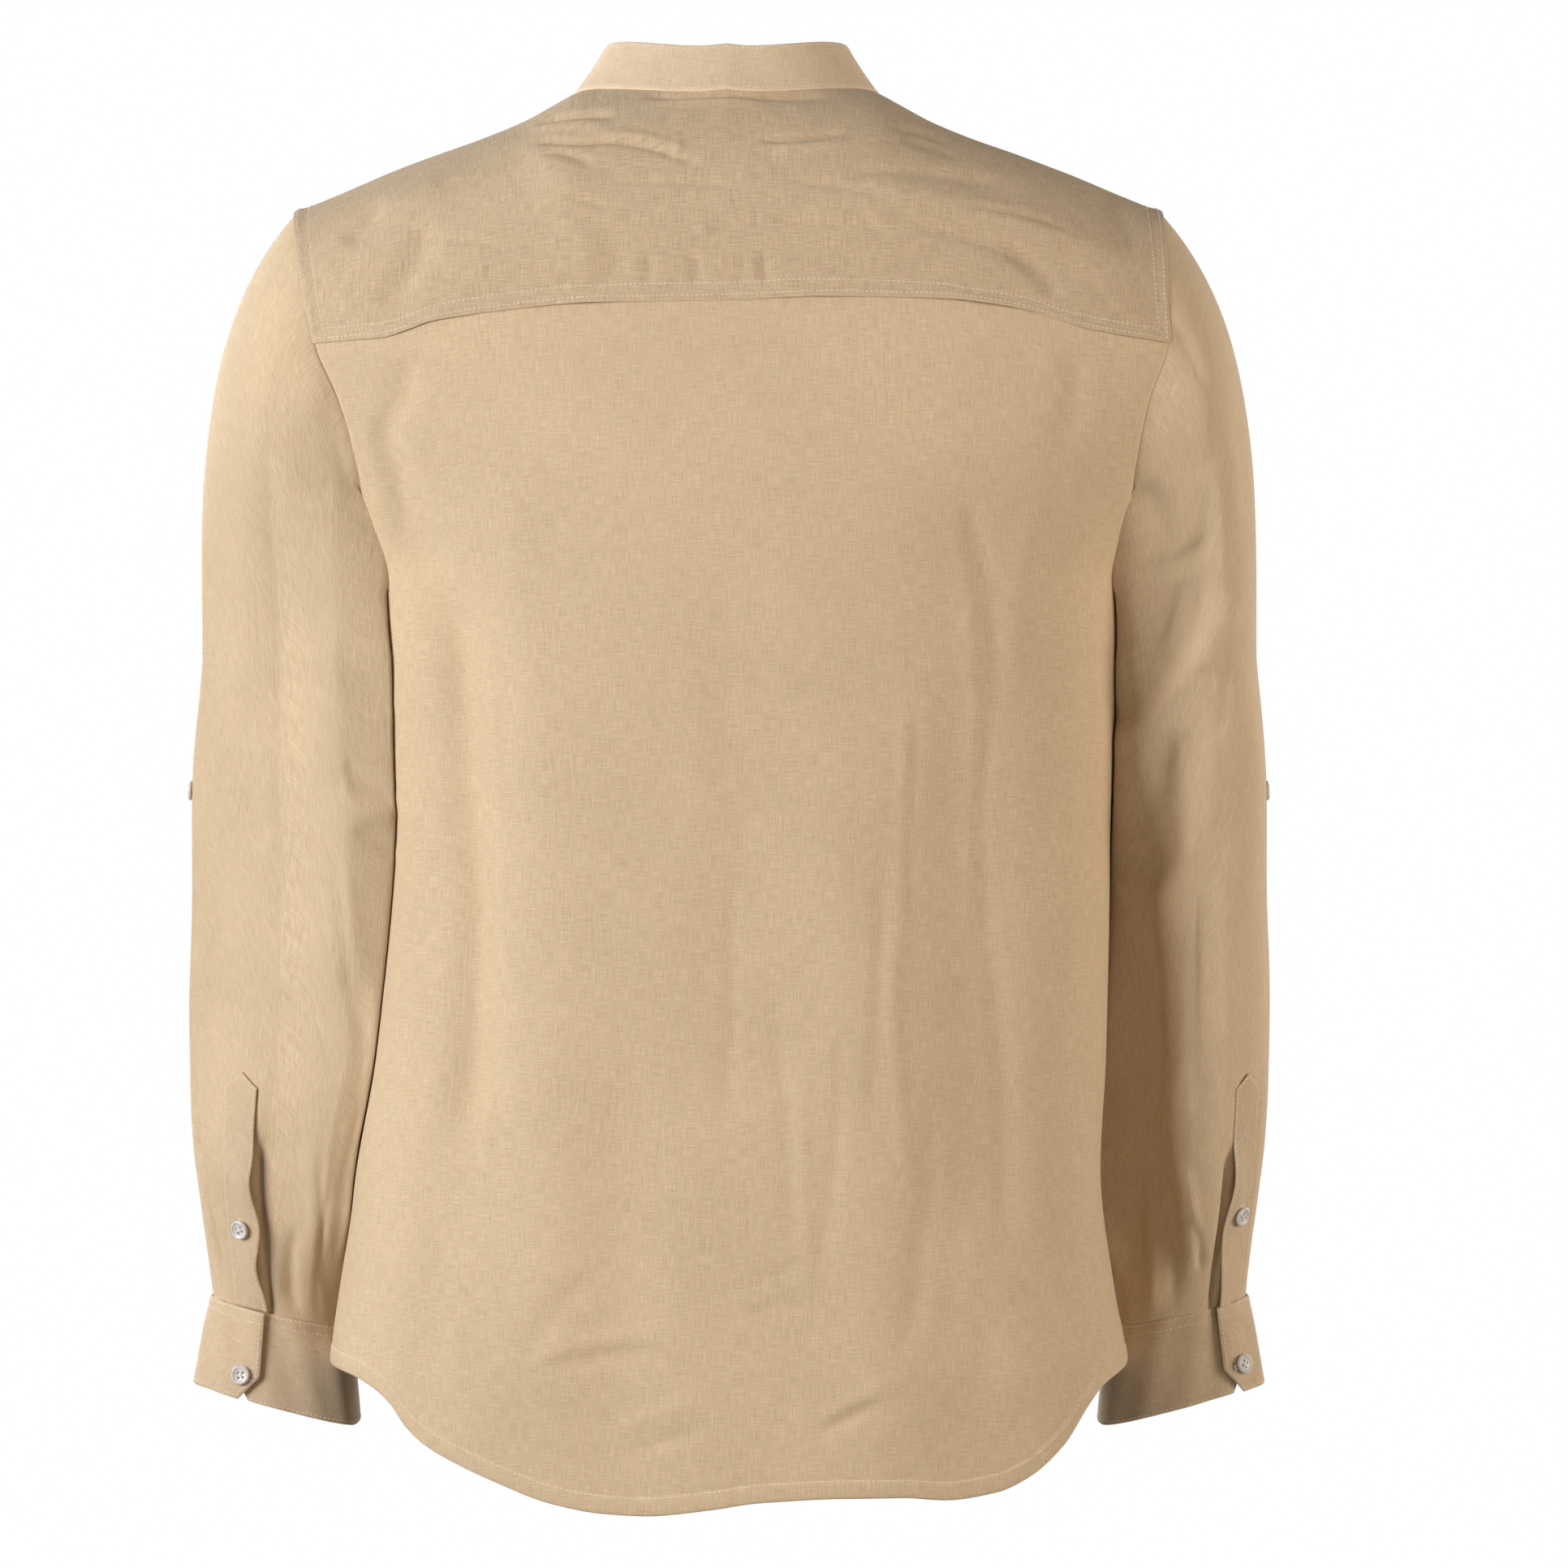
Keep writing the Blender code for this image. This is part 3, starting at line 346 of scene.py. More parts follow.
def normals(points, closed=False):
    """Unit normals of a grid of points, by its neighbours in both directions."""
    down = np.gradient(points, axis=0)
    if closed:
        along = np.roll(points, -1, axis=1) - np.roll(points, 1, axis=1)
    else:
        along = np.gradient(points, axis=1)
    return unit(np.cross(along, down))


def outward(points, inside, closed=False):
    """The grid's normals, all on the side that leads away from `inside`."""
    facing = normals(points, closed)
    return -facing if np.sum(facing * (points - inside)) < 0 else facing


def travel(points, axis):
    """Distance along the cloth from the first row (axis 0) or first column (axis 1)."""
    steps = np.linalg.norm(np.diff(points, axis=axis), axis=-1)
    start = np.zeros_like(np.take(steps, [0], axis=axis))
    return np.concatenate([start, np.cumsum(steps, axis=axis)], axis=axis)


def turn_edge(points, thick, axis, at_end, taper=TURNED):
    """Add lines close to one edge of a grid, where the cloth gets thinner."""
    if at_end:
        points, thick = np.flip(points, axis), np.flip(thick, axis)
    edge, second = np.take(points, 0, axis), np.take(points, 1, axis)
    inwards = unit(second - edge)
    lines = [edge + inwards * distance for distance, _ in taper]
    shares = [np.take(thick, 0, axis) * share for _, share in taper]
    rest = np.take(points, range(1, points.shape[axis]), axis)
    rest_thick = np.take(thick, range(1, thick.shape[axis]), axis)
    points = np.concatenate([np.stack(lines, axis), rest], axis)
    thick = np.concatenate([np.stack(shares, axis), rest_thick], axis)
    if at_end:
        points, thick = np.flip(points, axis), np.flip(thick, axis)
    return points, thick


def quads(rows, columns, closed, flip):
    """Corner numbers of a grid's faces."""
    i, j = np.meshgrid(np.arange(rows - 1), np.arange(columns if closed else columns - 1),
                       indexing="ij")
    k = (j + 1) % columns
    corners = [i * columns + j, i * columns + k, (i + 1) * columns + k, (i + 1) * columns + j]
    faces = np.stack(corners, axis=-1).reshape(-1, 4)
    return faces[:, ::-1] if flip else faces


def rim(rows, columns, closed):
    """Faces that close the shell along its edges."""
    number = np.arange(rows * columns).reshape(rows, columns)
    if closed:
        loops = [number[0], number[-1][::-1]]
    else:
        loops = [np.concatenate([number[0], number[1:, -1], number[-1, -2::-1],
                                 number[-2:0:-1, 0]])]
    faces = []
    for loop in loops:
        after = np.roll(loop, -1)
        count = rows * columns
        faces.append(np.stack([after, loop, loop + count, after + count], axis=-1))
    return np.concatenate(faces)


class Panel:
    """A piece of cloth: its mesh object, and the grid that stitches and creases follow."""

    def __init__(self, points, inside, thickness=CLOTH, closed=False, turned=(),
                 taper=TURNED):
        facing = outward(points, inside, closed)
        self.reversed = bool(np.sum(facing * normals(points, closed)) < 0)
        if self.reversed:
            points = points[:, ::-1]
            swap = {"left": "right", "right": "left"}
            turned = [swap.get(edge, edge) for edge in turned]
        thick = np.full(points.shape[:2], float(thickness))
        for edge in turned:
            axis, at_end = {"top": (0, False), "bottom": (0, True), "left": (1, False),
                            "right": (1, True)}[edge]
            points, thick = turn_edge(points, thick, axis, at_end, taper)
        self.points, self.thick, self.closed = points, thick, closed
        self.facing = normals(points, closed)
        self.down, self.along = travel(points, 0), travel(points, 1)
        self.area = 0.0

    def distance(self, edge):
        """Distance of every point from an edge, along the cloth."""
        if edge == "top":
            return self.down
        if edge == "bottom":
            return self.down[-1:] - self.down
        if (edge == "left") != self.reversed:
            return self.along
        return self.along[:, -1:] - self.along

    def line(self, edge, distance):
        """A line on the outer side at a distance from an edge, with its normals."""
        away = self.distance(edge)
        outer = self.points + self.facing * self.thick[..., None] / 2
        if edge in ("left", "right"):
            away, outer, facing = away.T, outer.transpose(1, 0, 2), self.facing.transpose(1, 0, 2)
        else:
            facing = self.facing
        if away[0, 0] > away[-1, 0]:
            away, outer, facing = away[::-1], outer[::-1], facing[::-1]
        path, out = [], []
        for j in range(away.shape[1]):
            path.append([np.interp(distance, away[:, j], outer[:, j, k]) for k in range(3)])
            out.append([np.interp(distance, away[:, j], facing[:, j, k]) for k in range(3)])
        return np.array(path), unit(np.array(out))


# %% [markdown]
# ### From grid to mesh
# The mesh gets a UV map that counts real distance along the cloth. A weave that is drawn in
# it stays the same size on every piece and runs with the grain. A second value on each
# point says how far it is from a sewn edge, and the material puckers the cloth there.

# %% Make a panel's mesh
def new_object(name, data, material=None):
    made = bpy.data.objects.new(name, data)
    bpy.context.scene.collection.objects.link(made)
    if material is not None:
        data.materials.append(material)
    return made


def grain_of(panel):
    """Where the panel's points lie on the flat cloth, in millimetres."""
    if panel.closed:
        columns = panel.points.shape[1]
        around = float(np.median(panel.along[:, -1])) * columns / (columns - 1)
        return (np.arange(columns) / columns - 0.5) * around + 0 * panel.down, panel.down
    return panel.along - panel.along[:, -1:] / 2, panel.down


def grid_mesh(name, panel, material, sewn, grain):
    rows, columns = panel.points.shape[:2]
    half = panel.thick[..., None] / 2
    layers = [panel.points + panel.facing * half, panel.points - panel.facing * half]
    vertices = np.concatenate([layer.reshape(-1, 3) for layer in layers]) * MM
    faces = np.concatenate([
        quads(rows, columns, panel.closed, flip=False),
        quads(rows, columns, panel.closed, flip=True) + rows * columns,
        rim(rows, columns, panel.closed)])
    mesh = bpy.data.meshes.new(name)
    mesh.vertices.add(len(vertices))
    mesh.vertices.foreach_set("co", vertices.astype(np.float32).ravel())
    mesh.loops.add(faces.size)
    mesh.loops.foreach_set("vertex_index", faces.astype(np.int32).ravel())
    mesh.polygons.add(len(faces))
    mesh.polygons.foreach_set("loop_start", np.arange(0, faces.size, 4, dtype=np.int32))
    mesh.update(calc_edges=True)
    mesh.shade_smooth()
    places = np.stack(grain(panel), axis=-1).reshape(-1, 2) * MM
    places = np.concatenate([places, places])
    corner_places = places[faces]
    if panel.closed:
        around = float(places[:, 0].max() - places[:, 0].min()) * columns / (columns - 1)
        jump = np.ptp(corner_places[..., 0], axis=1) > around / 2
        low = (corner_places[..., 0] < 0) & jump[:, None]
        corner_places[..., 0] += low * around
    layer = mesh.uv_layers.new(name="cloth")
    layer.uv.foreach_set("vector", corner_places.astype(np.float32).ravel())
    near = np.full(panel.points.shape[:2], FAR)
    for edge in sewn:
        near = np.minimum(near, panel.distance(edge))
    value = mesh.attributes.new("sewn_edge", "FLOAT", "POINT")
    value.data.foreach_set("value", np.tile(near.ravel(), 2).astype(np.float32))
    cross = np.cross(panel.points[1:, 1:] - panel.points[:-1, :-1],
                     panel.points[1:, :-1] - panel.points[:-1, 1:])
    panel.area = float(np.linalg.norm(cross, axis=-1).sum() / 2) * MM ** 2
    return new_object(name, mesh, material)


def sew_in(panel, name, node, material, sewn=(),
           grain=grain_of):
    """Make the panel's object, let it ride on the shirt and stand for its CAD solid."""
    made = grid_mesh(name, panel, material, sewn, grain)
    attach(made, "root")
    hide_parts(node)
    return made


# %% [markdown]
# ## Creases
# A shirt that is worn creases where it is pulled and where it hangs loose. Each crease runs
# from one point to another, bows a little, and is widest in its middle. The depth moves the
# cloth in (a trough) or out (a ridge). Sculpting would do the same by hand, but a table can
# be read and changed. A few slow waves on top keep flat stretches from looking rolled.

# %% Read creases from a table
CREASE_END = 0.3                # share of its length over which a crease dies away
CREASE_START = 0.2              # what is left of it at its very end
NARROW, WIDEN = 0.85, 0.3       # its width where it begins, and how much it gains


def crease_depth(creases, a, b):
    """How far creases move the cloth, at places (a, b) counted in millimetres."""
    depth = np.zeros_like(a)
    for crease in rows_of(creases):
        run = np.array([crease["a1"] - crease["a0"], crease["b1"] - crease["b0"]])
        length = math.hypot(*run)
        run = run / length
        share = ((a - crease["a0"]) * run[0] + (b - crease["b0"]) * run[1]) / length
        aside = (a - crease["a0"]) * -run[1] + (b - crease["b0"]) * run[0]
        aside = aside - crease["bow"] * 4 * share * (1 - share)
        ends = (ease(share / CREASE_END + CREASE_START)
                * ease((1 - share) / CREASE_END + CREASE_START))
        width = crease["half_width"] * (NARROW + WIDEN * np.clip(share, 0, 1))
        depth += crease["depth"] * ends * np.exp(-(aside / width) ** 2)
    return depth


def deeper(creases, times):
    return creases | {"depth": creases["depth"] * times}


def slow_waves(a, b, size):
    """Faint unevenness of the cloth, from a few waves that never line up."""
    waves = (np.sin(a / 31 + np.sin(b / 47)) * np.sin(b / 58 + 1.3)
             + 0.6 * np.sin(a / 17 - b / 83 + 0.7) * np.sin(b / 23 + np.sin(a / 37))
             + 0.35 * np.sin(a / 9.5 + b / 31) * np.sin(b / 14 - a / 61 + 2.1))
    return size * waves


FOLD_FADE = 0.3
FOLD_REACH = 1.12
FOLD_EDGE = 30.0
BODY_FOLDS = table(
    "face x_top z_top x_bottom z_bottom half_width depth",
    (BACK, -150, -235, -136, -640, 30, -4.5),
    (BACK, -100, -260, -96, -700, 32, 3.0),
    (BACK, 2, -240, 8, -560, 30, -2.5),
    (BACK, 60, -330, 84, -740, 26, 3.5),
    (BACK, 126, -260, 140, -720, 22, -5.0),
    (BACK, -52, -480, -60, -750, 24, -3.0),
    (FRONT, -146, -250, -128, -690, 30, -4.5),
    (FRONT, -88, -330, -100, -730, 28, 3.5),
    (FRONT, 92, -280, 84, -720, 28, -4.0),
    (FRONT, 150, -240, 134, -700, 26, 4.0))


def fold_depth(face, points):
    """The largest folds of the body, shared with the CAD solids."""
    x, z = points[..., 0], points[..., 2]
    depth = np.zeros_like(x)
    for fold in rows_of(BODY_FOLDS):
        if fold["face"] != face:
            continue
        along = (z - fold["z_top"]) / (fold["z_bottom"] - fold["z_top"])
        middle = blend(fold["x_top"], fold["x_bottom"], np.clip(along, 0, 1))
        ends = ease(along / FOLD_FADE) * ease((FOLD_REACH - along) / FOLD_FADE)
        depth += fold["depth"] * ends * np.exp(-((x - middle) / fold["half_width"]) ** 2)
    edge = ease((half_width(face, z) - np.abs(x - body("shift", z))) / FOLD_EDGE)
    return depth * edge


# %% [markdown]
# Smaller creases of the back: a long sharp trough on the right, a soft one on the left that
# leaves the armhole, bundles of fine upright wrinkles, and short slanting ones above the
# hem where the shirt was sat on. The front has a pull at each armpit and soft ones below
# the chest. Widths are half widths, and a negative depth goes in.

# %% Creases of the body
BACK_CREASES = table(
    "a0 b0 a1 b1 bow half_width depth",
    (-200, -176, -146, -310, 5, 12, -5.2),
    (-144, -270, -134, -436, -2, 12.5, -7.2),
    (-134, -404, -140, -570, 3, 12.5, -6.6),
    (136, -590, 147, -716, 2, 16, 3.0),
    (-128, -300, -122, -470, 3, 6, 1.3),
    (-116, -215, -100, -400, 2, 14, 1.6),
    (-133, -470, -128, -600, 3, 4, 0.8),
    (2, -420, 0, -560, 2, 4, -1.1),
    (-18, -300, -14, -440, 2, 12, 0.8),
    (126, -228, 138, -345, 3, 6.5, -3.0),
    (138, -330, 138, -470, -3, 5, -2.6),
    (139, -455, 148, -620, 3, 5.5, -2.4),
    (128, -240, 131, -470, 4, 8, 2.2),
    (160, -235, 150, -330, -3, 9, 1.8),
    (92, -330, 88, -480, 3, 4, 1.0),
    (100, -340, 96, -450, -3, 3.5, -0.9),
    (80, -420, 74, -560, 2, 4, -0.9),
    (86, -450, 96, -600, -3, 4.5, 1.0),
    (60, -500, 48, -640, 3, 4, -1.0),
    (40, -520, 44, -650, -2, 3.5, 0.8),
    (22, -480, 34, -620, 3, 4, -0.9),
    (108, -540, 92, -680, 3, 6, -1.3),
    (182, -150, 172, -205, 4, 7, -2.0),
    (-166, -150, -186, -200, 3, 8, -1.8),
    (-68, -632, -105, -682, -5, 6, -1.3),
    (-102, -678, -28, -666, 4, 4.5, 1.1),
    (-98, -684, -34, -673, 4, 4.5, -1.2),
    (12, -640, 38, -630, 2, 3.5, -0.9),
    (8, -656, 44, -646, 2, 4, -1.0),
    (-54, -728, -10, -714, 2, 3.5, -1.3),
    (-60, -716, -12, -700, 3, 3.5, 0.9),
    (48, -716, 80, -700, 2, 3.5, -1.8),
    (52, -708, 84, -692, 2, 4, 1.2),
    (150, -640, 184, -674, 3, 5, -1.2),
    (128, -600, 122, -700, 3, 10, 1.2),
    (-150, -600, -160, -690, 3, 10, -1.2),
    (-12, -742, -8, -756, 0, 3, -0.9),
    (6, -738, 10, -752, 0, 3, -0.8),
    (24, -736, 22, -752, 0, 3, -0.8))
FRONT_CREASES = table(
    "a0 b0 a1 b1 bow half_width depth",
    (-196, -190, -120, -262, 9, 8, -2.4),
    (190, -196, 118, -280, -9, 8, -2.6),
    (-182, -230, -132, -330, 7, 8, -1.8),
    (178, -236, 134, -350, -7, 8, -1.9),
    (-60, -165, -120, -215, 5, 7, -1.4),
    (62, -160, 126, -204, -5, 7, -1.5),
    (-40, -300, -96, -340, 4, 6, -1.3),
    (40, -296, 104, -330, -4, 6, -1.2),
    (-44, -392, -110, -420, 4, 5, -1.2),
    (42, -400, 112, -440, -4, 6, -1.3),
    (-120, -400, -126, -600, 4, 6, -1.6),
    (118, -380, 122, -560, -4, 6, -1.5),
    (-70, -480, -76, -640, 3, 5, -1.2),
    (74, -500, 80, -680, -3, 5, -1.3),
    (-98, -560, -92, -690, 3, 5, 1.1),
    (104, -560, 98, -700, 3, 5, 1.0),
    (-150, -560, -156, -680, 3, 8, -1.3),
    (150, -580, 158, -680, -3, 8, -1.2),
    (-46, -700, -100, -684, 3, 4, -1.3),
    (50, -690, 108, -670, -3, 4, -1.2),
    (-42, -600, -90, -578, 3, 4, -0.9),
    (44, -560, 92, -540, 3, 4, -0.9))
print("creases: back", len(BACK_CREASES["a0"]), "front", len(FRONT_CREASES["a0"]))

# %% [markdown]
# ## The cloth and its finish
# The shirt is a plain weave of linen and cotton: every yarn goes over one and under one.
# Linen yarn is uneven, and its thick places, called slubs, show as short light and dark
# dashes along and across. The weave, the slubs, the washed tone and the puckers at seams
# are each a node group, built once, so the cloth, the stiffened pieces and the thread can
# share them with values of their own. The groups put out masks and heights only.

# %% Helpers that wire up nodes
def put(tree, kind, wires=(), **settings):
    """Add a node, set its options, and join or fill its inputs."""
    node = tree.nodes.new(kind)
    for option, value in settings.items():
        setattr(node, option, value)
    for socket, value in dict(wires).items():
        if isinstance(value, bpy.types.NodeSocket):
            tree.links.new(value, node.inputs[socket])
        else:
            node.inputs[socket].default_value = value
    return node


def maths(tree, operation, first, second=0.0):
    return put(tree, "ShaderNodeMath", {0: first, 1: second}, operation=operation).outputs[0]


def spread(tree, value, low, high, to_low=0.0, to_high=1.0):
    """Move a value from one range to another."""
    wires = {"Value": value, "From Min": low, "From Max": high, "To Min": to_low,
             "To Max": to_high}
    return put(tree, "ShaderNodeMapRange", wires).outputs["Result"]


def new_group(name, inputs, outputs):
    """A shader node group with named inputs (name: kind, value) and outputs."""
    tree = bpy.data.node_groups.new(name, "ShaderNodeTree")
    for label, (kind, value) in inputs.items():
        socket = tree.interface.new_socket(label, in_out="INPUT", socket_type=kind)
        if value is not None:
            socket.default_value = value
    for label in outputs:
        tree.interface.new_socket(label, in_out="OUTPUT", socket_type="NodeSocketFloat")
    return tree, tree.nodes.new("NodeGroupInput").outputs


def close_group(tree, results):
    end = tree.nodes.new("NodeGroupOutput")
    for label, socket in results.items():
        tree.links.new(socket, end.inputs[label])
    return tree


def grey(tree, shade):
    return put(tree, "ShaderNodeCombineColor", {0: shade, 1: shade, 2: shade}).outputs[0]


def bumped(tree, height, strength, distance, normal=None):
    """The normal after a bump, on top of another normal if there is one."""
    wires = {"Height": height, "Strength": strength, "Distance": distance}
    if normal is not None:
        wires["Normal"] = normal
    return put(tree, "ShaderNodeBump", wires).outputs["Normal"]


def new_material(name):
    """A material, its node tree and its Principled shader."""
    material = bpy.data.materials.new(name)
    material.use_nodes = True
    return material, material.node_tree, material.node_tree.nodes["Principled BSDF"]


def noise(tree, vector, scale, detail=2.0, roughness=0.5):
    wires = {"Vector": vector, "Scale": scale, "Detail": detail, "Roughness": roughness}
    return put(tree, "ShaderNodeTexNoise", wires, noise_dimensions="3D").outputs["Fac"]


FLOAT, VECTOR = "NodeSocketFloat", "NodeSocketVector"

# %% [markdown]
# A plain weave is a checkerboard of crossings. On one square the upright yarn is on top, on
# the next the level one, and each yarn is round. Two sine waves give both: their product
# says which yarn is on top, and their sizes give its round back.

# %% The plain weave
def build_plain_weave():
    tree, given = new_group("plain weave", {
        "Vector": (VECTOR, None), "Yarns per metre": (FLOAT, 2000.0),
        "Unevenness": (FLOAT, 0.25)}, ["Height", "Upright yarn"])
    wander = noise(tree, given["Vector"], 420.0, 1.0)
    wander = maths(tree, "MULTIPLY", maths(tree, "SUBTRACT", wander, 0.5), given["Unevenness"])
    parts = put(tree, "ShaderNodeSeparateXYZ", {0: given["Vector"]}).outputs
    waves = []
    for axis in ("X", "Y"):
        turns = maths(tree, "MULTIPLY", parts[axis], given["Yarns per metre"])
        turns = maths(tree, "ADD", turns, wander)
        waves.append(maths(tree, "SINE", maths(tree, "MULTIPLY", turns, math.pi)))
    crossing = maths(tree, "MULTIPLY", maths(tree, "MULTIPLY", waves[0], waves[1]), 2.5)
    on_top = spread(tree, crossing, -1.0, 1.0)
    backs = [maths(tree, "ABSOLUTE", wave) for wave in waves]
    height = maths(tree, "ADD", maths(tree, "MULTIPLY", backs[0], on_top),
                   maths(tree, "MULTIPLY", backs[1], maths(tree, "SUBTRACT", 1.0, on_top)))
    return close_group(tree, {"Height": height, "Upright yarn": on_top})


# %% [markdown]
# Slubs are noise that is squeezed in one direction and drawn out in the other: half a
# millimetre across the yarn and a centimetre along it. One set runs up, the other across.

# %% Slubs
def build_slubs():
    tree, given = new_group("linen slubs", {
        "Vector": (VECTOR, None), "Yarn width": (FLOAT, 0.0005),
        "Slub length": (FLOAT, 0.010)}, ["Tone", "Height"])
    parts = put(tree, "ShaderNodeSeparateXYZ", {0: given["Vector"]}).outputs
    tones = []
    for wide, long in (("X", "Y"), ("Y", "X")):
        across = maths(tree, "DIVIDE", parts[wide], given["Yarn width"])
        along = maths(tree, "DIVIDE", parts[long], given["Slub length"])
        place = put(tree, "ShaderNodeCombineXYZ", {0: across, 1: along, 2: 7.0 * len(tones)})
        tones.append(noise(tree, place.outputs[0], 1.0, 2.0, 0.6))
    both = maths(tree, "MULTIPLY", maths(tree, "ADD", tones[0], tones[1]), 0.5)
    tone = spread(tree, both, 0.39, 0.61)
    return close_group(tree, {"Tone": tone, "Height": both})


# %% [markdown]
# Washing leaves linen a little lighter and darker in patches and rubbed pale along its
# edges. Beside a row of stitches the cloth is drawn up in short ripples across the seam.

# %% Washed tone and seam puckers
def build_washed_tone():
    tree, given = new_group("washed tone", {"Vector": (VECTOR, None), "Patch": (FLOAT, 0.09)},
                            ["Tone"])
    scale = maths(tree, "DIVIDE", 1.0, given["Patch"])
    tone = spread(tree, noise(tree, given["Vector"], scale, 4.0, 0.55), 0.3, 0.7)
    return close_group(tree, {"Tone": tone})


def build_seam_puckers():
    tree, given = new_group("seam puckers", {
        "Vector": (VECTOR, None), "Distance": (FLOAT, 30.0), "Reach": (FLOAT, 9.0),
        "Ripple": (FLOAT, 0.006)}, ["Height", "Worn edge"])
    near = spread(tree, given["Distance"], given["Reach"], 0.0)
    scale = maths(tree, "DIVIDE", 1.0, given["Ripple"])
    ripple = noise(tree, given["Vector"], scale, 1.0, 0.4)
    height = maths(tree, "MULTIPLY", maths(tree, "SUBTRACT", ripple, 0.5), near)
    worn = spread(tree, given["Distance"], 1.6, 0.2)
    return close_group(tree, {"Height": height, "Worn edge": worn})


# %% [markdown]
# Linen also holds fine crinkles that follow its upright yarns. They are too fine for the
# mesh, so a stretched noise draws them: a thin ridge wherever its value passes one half,
# and only in some patches of the cloth.

# %% Fine crinkles
def build_crinkles():
    tree, given = new_group("fine crinkles", {
        "Vector": (VECTOR, None), "Width": (FLOAT, 0.006), "Length": (FLOAT, 0.06)}, ["Height"])
    parts = put(tree, "ShaderNodeSeparateXYZ", {0: given["Vector"]}).outputs
    across = maths(tree, "DIVIDE", parts["X"], given["Width"])
    along = maths(tree, "DIVIDE", parts["Y"], given["Length"])
    place = put(tree, "ShaderNodeCombineXYZ", {0: across, 1: along, 2: 3.0}).outputs[0]
    off = maths(tree, "ABSOLUTE", maths(tree, "SUBTRACT", noise(tree, place, 1.0, 2.0), 0.5))
    patches = spread(tree, noise(tree, given["Vector"], 13.0, 1.0), 0.44, 0.66)
    height = maths(tree, "MULTIPLY", spread(tree, off, 0.12, 0.0), patches)
    return close_group(tree, {"Height": height})


GROUPS = {"weave": build_plain_weave(), "slubs": build_slubs(), "tone": build_washed_tone(),
          "puckers": build_seam_puckers(), "crinkles": build_crinkles()}
print("node groups:", ", ".join(group.name for group in GROUPS.values()))

# %% [markdown]
# The cloth's material mixes a dark and a light yarn colour by the slubs, tints that by the
# washed tone, paints shade into the low places of the weave, and lets two bumps follow each
# other: puckers, slubs and crinkles first, then the weave. The surface is matt, with a little
# sheen from fibres that stand off the yarn.

# %% The cloth materials
PALER, RUBBED = 1.12, 0.35      # how pale a worn edge is, and how much of that shows
MATT = (0.92, 0.81)             # roughness between the slubs and on them


def use(tree, group, wires):
    return put(tree, "ShaderNodeGroup", wires, node_tree=GROUPS[group]).outputs


def mixed(tree, factor, first, second, blend_type="MIX"):
    wires = {"Factor": factor, 6: first, 7: second}
    return put(tree, "ShaderNodeMix", wires, data_type="RGBA", blend_type=blend_type).outputs[2]


def cloth_material(name, light, dark, patch=0.09, pucker=0.5, reach=9.0, crinkled=0.15):
    material, tree, shader = new_material(name)
    place = put(tree, "ShaderNodeUVMap", uv_map="cloth").outputs["UV"]
    edge = put(tree, "ShaderNodeAttribute", attribute_name="sewn_edge").outputs["Fac"]
    weave = use(tree, "weave", {"Vector": place})
    slubs = use(tree, "slubs", {"Vector": place})
    tone = use(tree, "tone", {"Vector": place, "Patch": patch})
    seams = use(tree, "puckers", {"Vector": place, "Distance": edge, "Reach": reach})
    colour = mixed(tree, slubs["Tone"], (*dark, 1.0), (*light, 1.0))
    shade = spread(tree, tone["Tone"], 0.0, 1.0, 0.955, 1.03)
    # The low places of the weave are painted darker: painted shade between the yarns.
    painted_weave_shade = spread(tree, weave["Height"], 0.0, 1.0, 0.93, 1.03)
    shade = maths(tree, "MULTIPLY", shade, painted_weave_shade)
    colour = mixed(tree, 1.0, colour, grey(tree, shade), "MULTIPLY")
    paler = tuple(min(1.0, c * PALER) for c in light)
    rubbed = maths(tree, "MULTIPLY", seams["Worn edge"], RUBBED)
    colour = mixed(tree, rubbed, colour, (*paler, 1.0))
    tree.links.new(colour, shader.inputs["Base Color"])
    rough = spread(tree, slubs["Tone"], 0.0, 1.0, *MATT)
    tree.links.new(rough, shader.inputs["Roughness"])
    large = maths(tree, "ADD", maths(tree, "MULTIPLY", seams["Height"], pucker),
                  maths(tree, "MULTIPLY", slubs["Height"], 0.35))
    crinkles = use(tree, "crinkles", {"Vector": place})["Height"]
    large = maths(tree, "ADD", large, maths(tree, "MULTIPLY", crinkles, crinkled))
    first = bumped(tree, large, 0.8, 0.0012)
    tree.links.new(bumped(tree, weave["Height"], 0.45, 0.0002, first), shader.inputs["Normal"])
    shader.inputs["Specular IOR Level"].default_value = 0.25
    shader.inputs["Sheen Weight"].default_value = 0.12
    shader.inputs["Sheen Roughness"].default_value = 0.6
    shader.inputs["Sheen Tint"].default_value = (1.0, 0.93, 0.84, 1.0)
    return material


SAND_LIGHT, SAND_DARK = (0.72, 0.553, 0.37), (0.575, 0.428, 0.265)     # the two yarn colours
sand_cloth = cloth_material("sand linen cloth", SAND_LIGHT, SAND_DARK)
# The yoke's doubled cloth is painted darker than the rest: painted shade for the yoke's darker
# light, and for the light that shines through single cloth but not through two layers.
doubled_cloth_painted_shade = cloth_material("sand linen, doubled, painted shade", (0.665, 0.503, 0.336),
                              (0.47, 0.352, 0.224), patch=0.12, pucker=0.6, reach=10.0,
                              crinkled=0.16)
# The stiffened cloth of the band, the plackets and the cuffs is painted a little darker: painted
# shade for doubled cloth, through which less light shines.
stiff_cloth_painted_shade = cloth_material("sand linen, stiffened, painted shade", (0.69, 0.525, 0.355), (0.56, 0.42, 0.27),
                             patch=0.06, pucker=0.7, reach=12.0, crinkled=0.04)
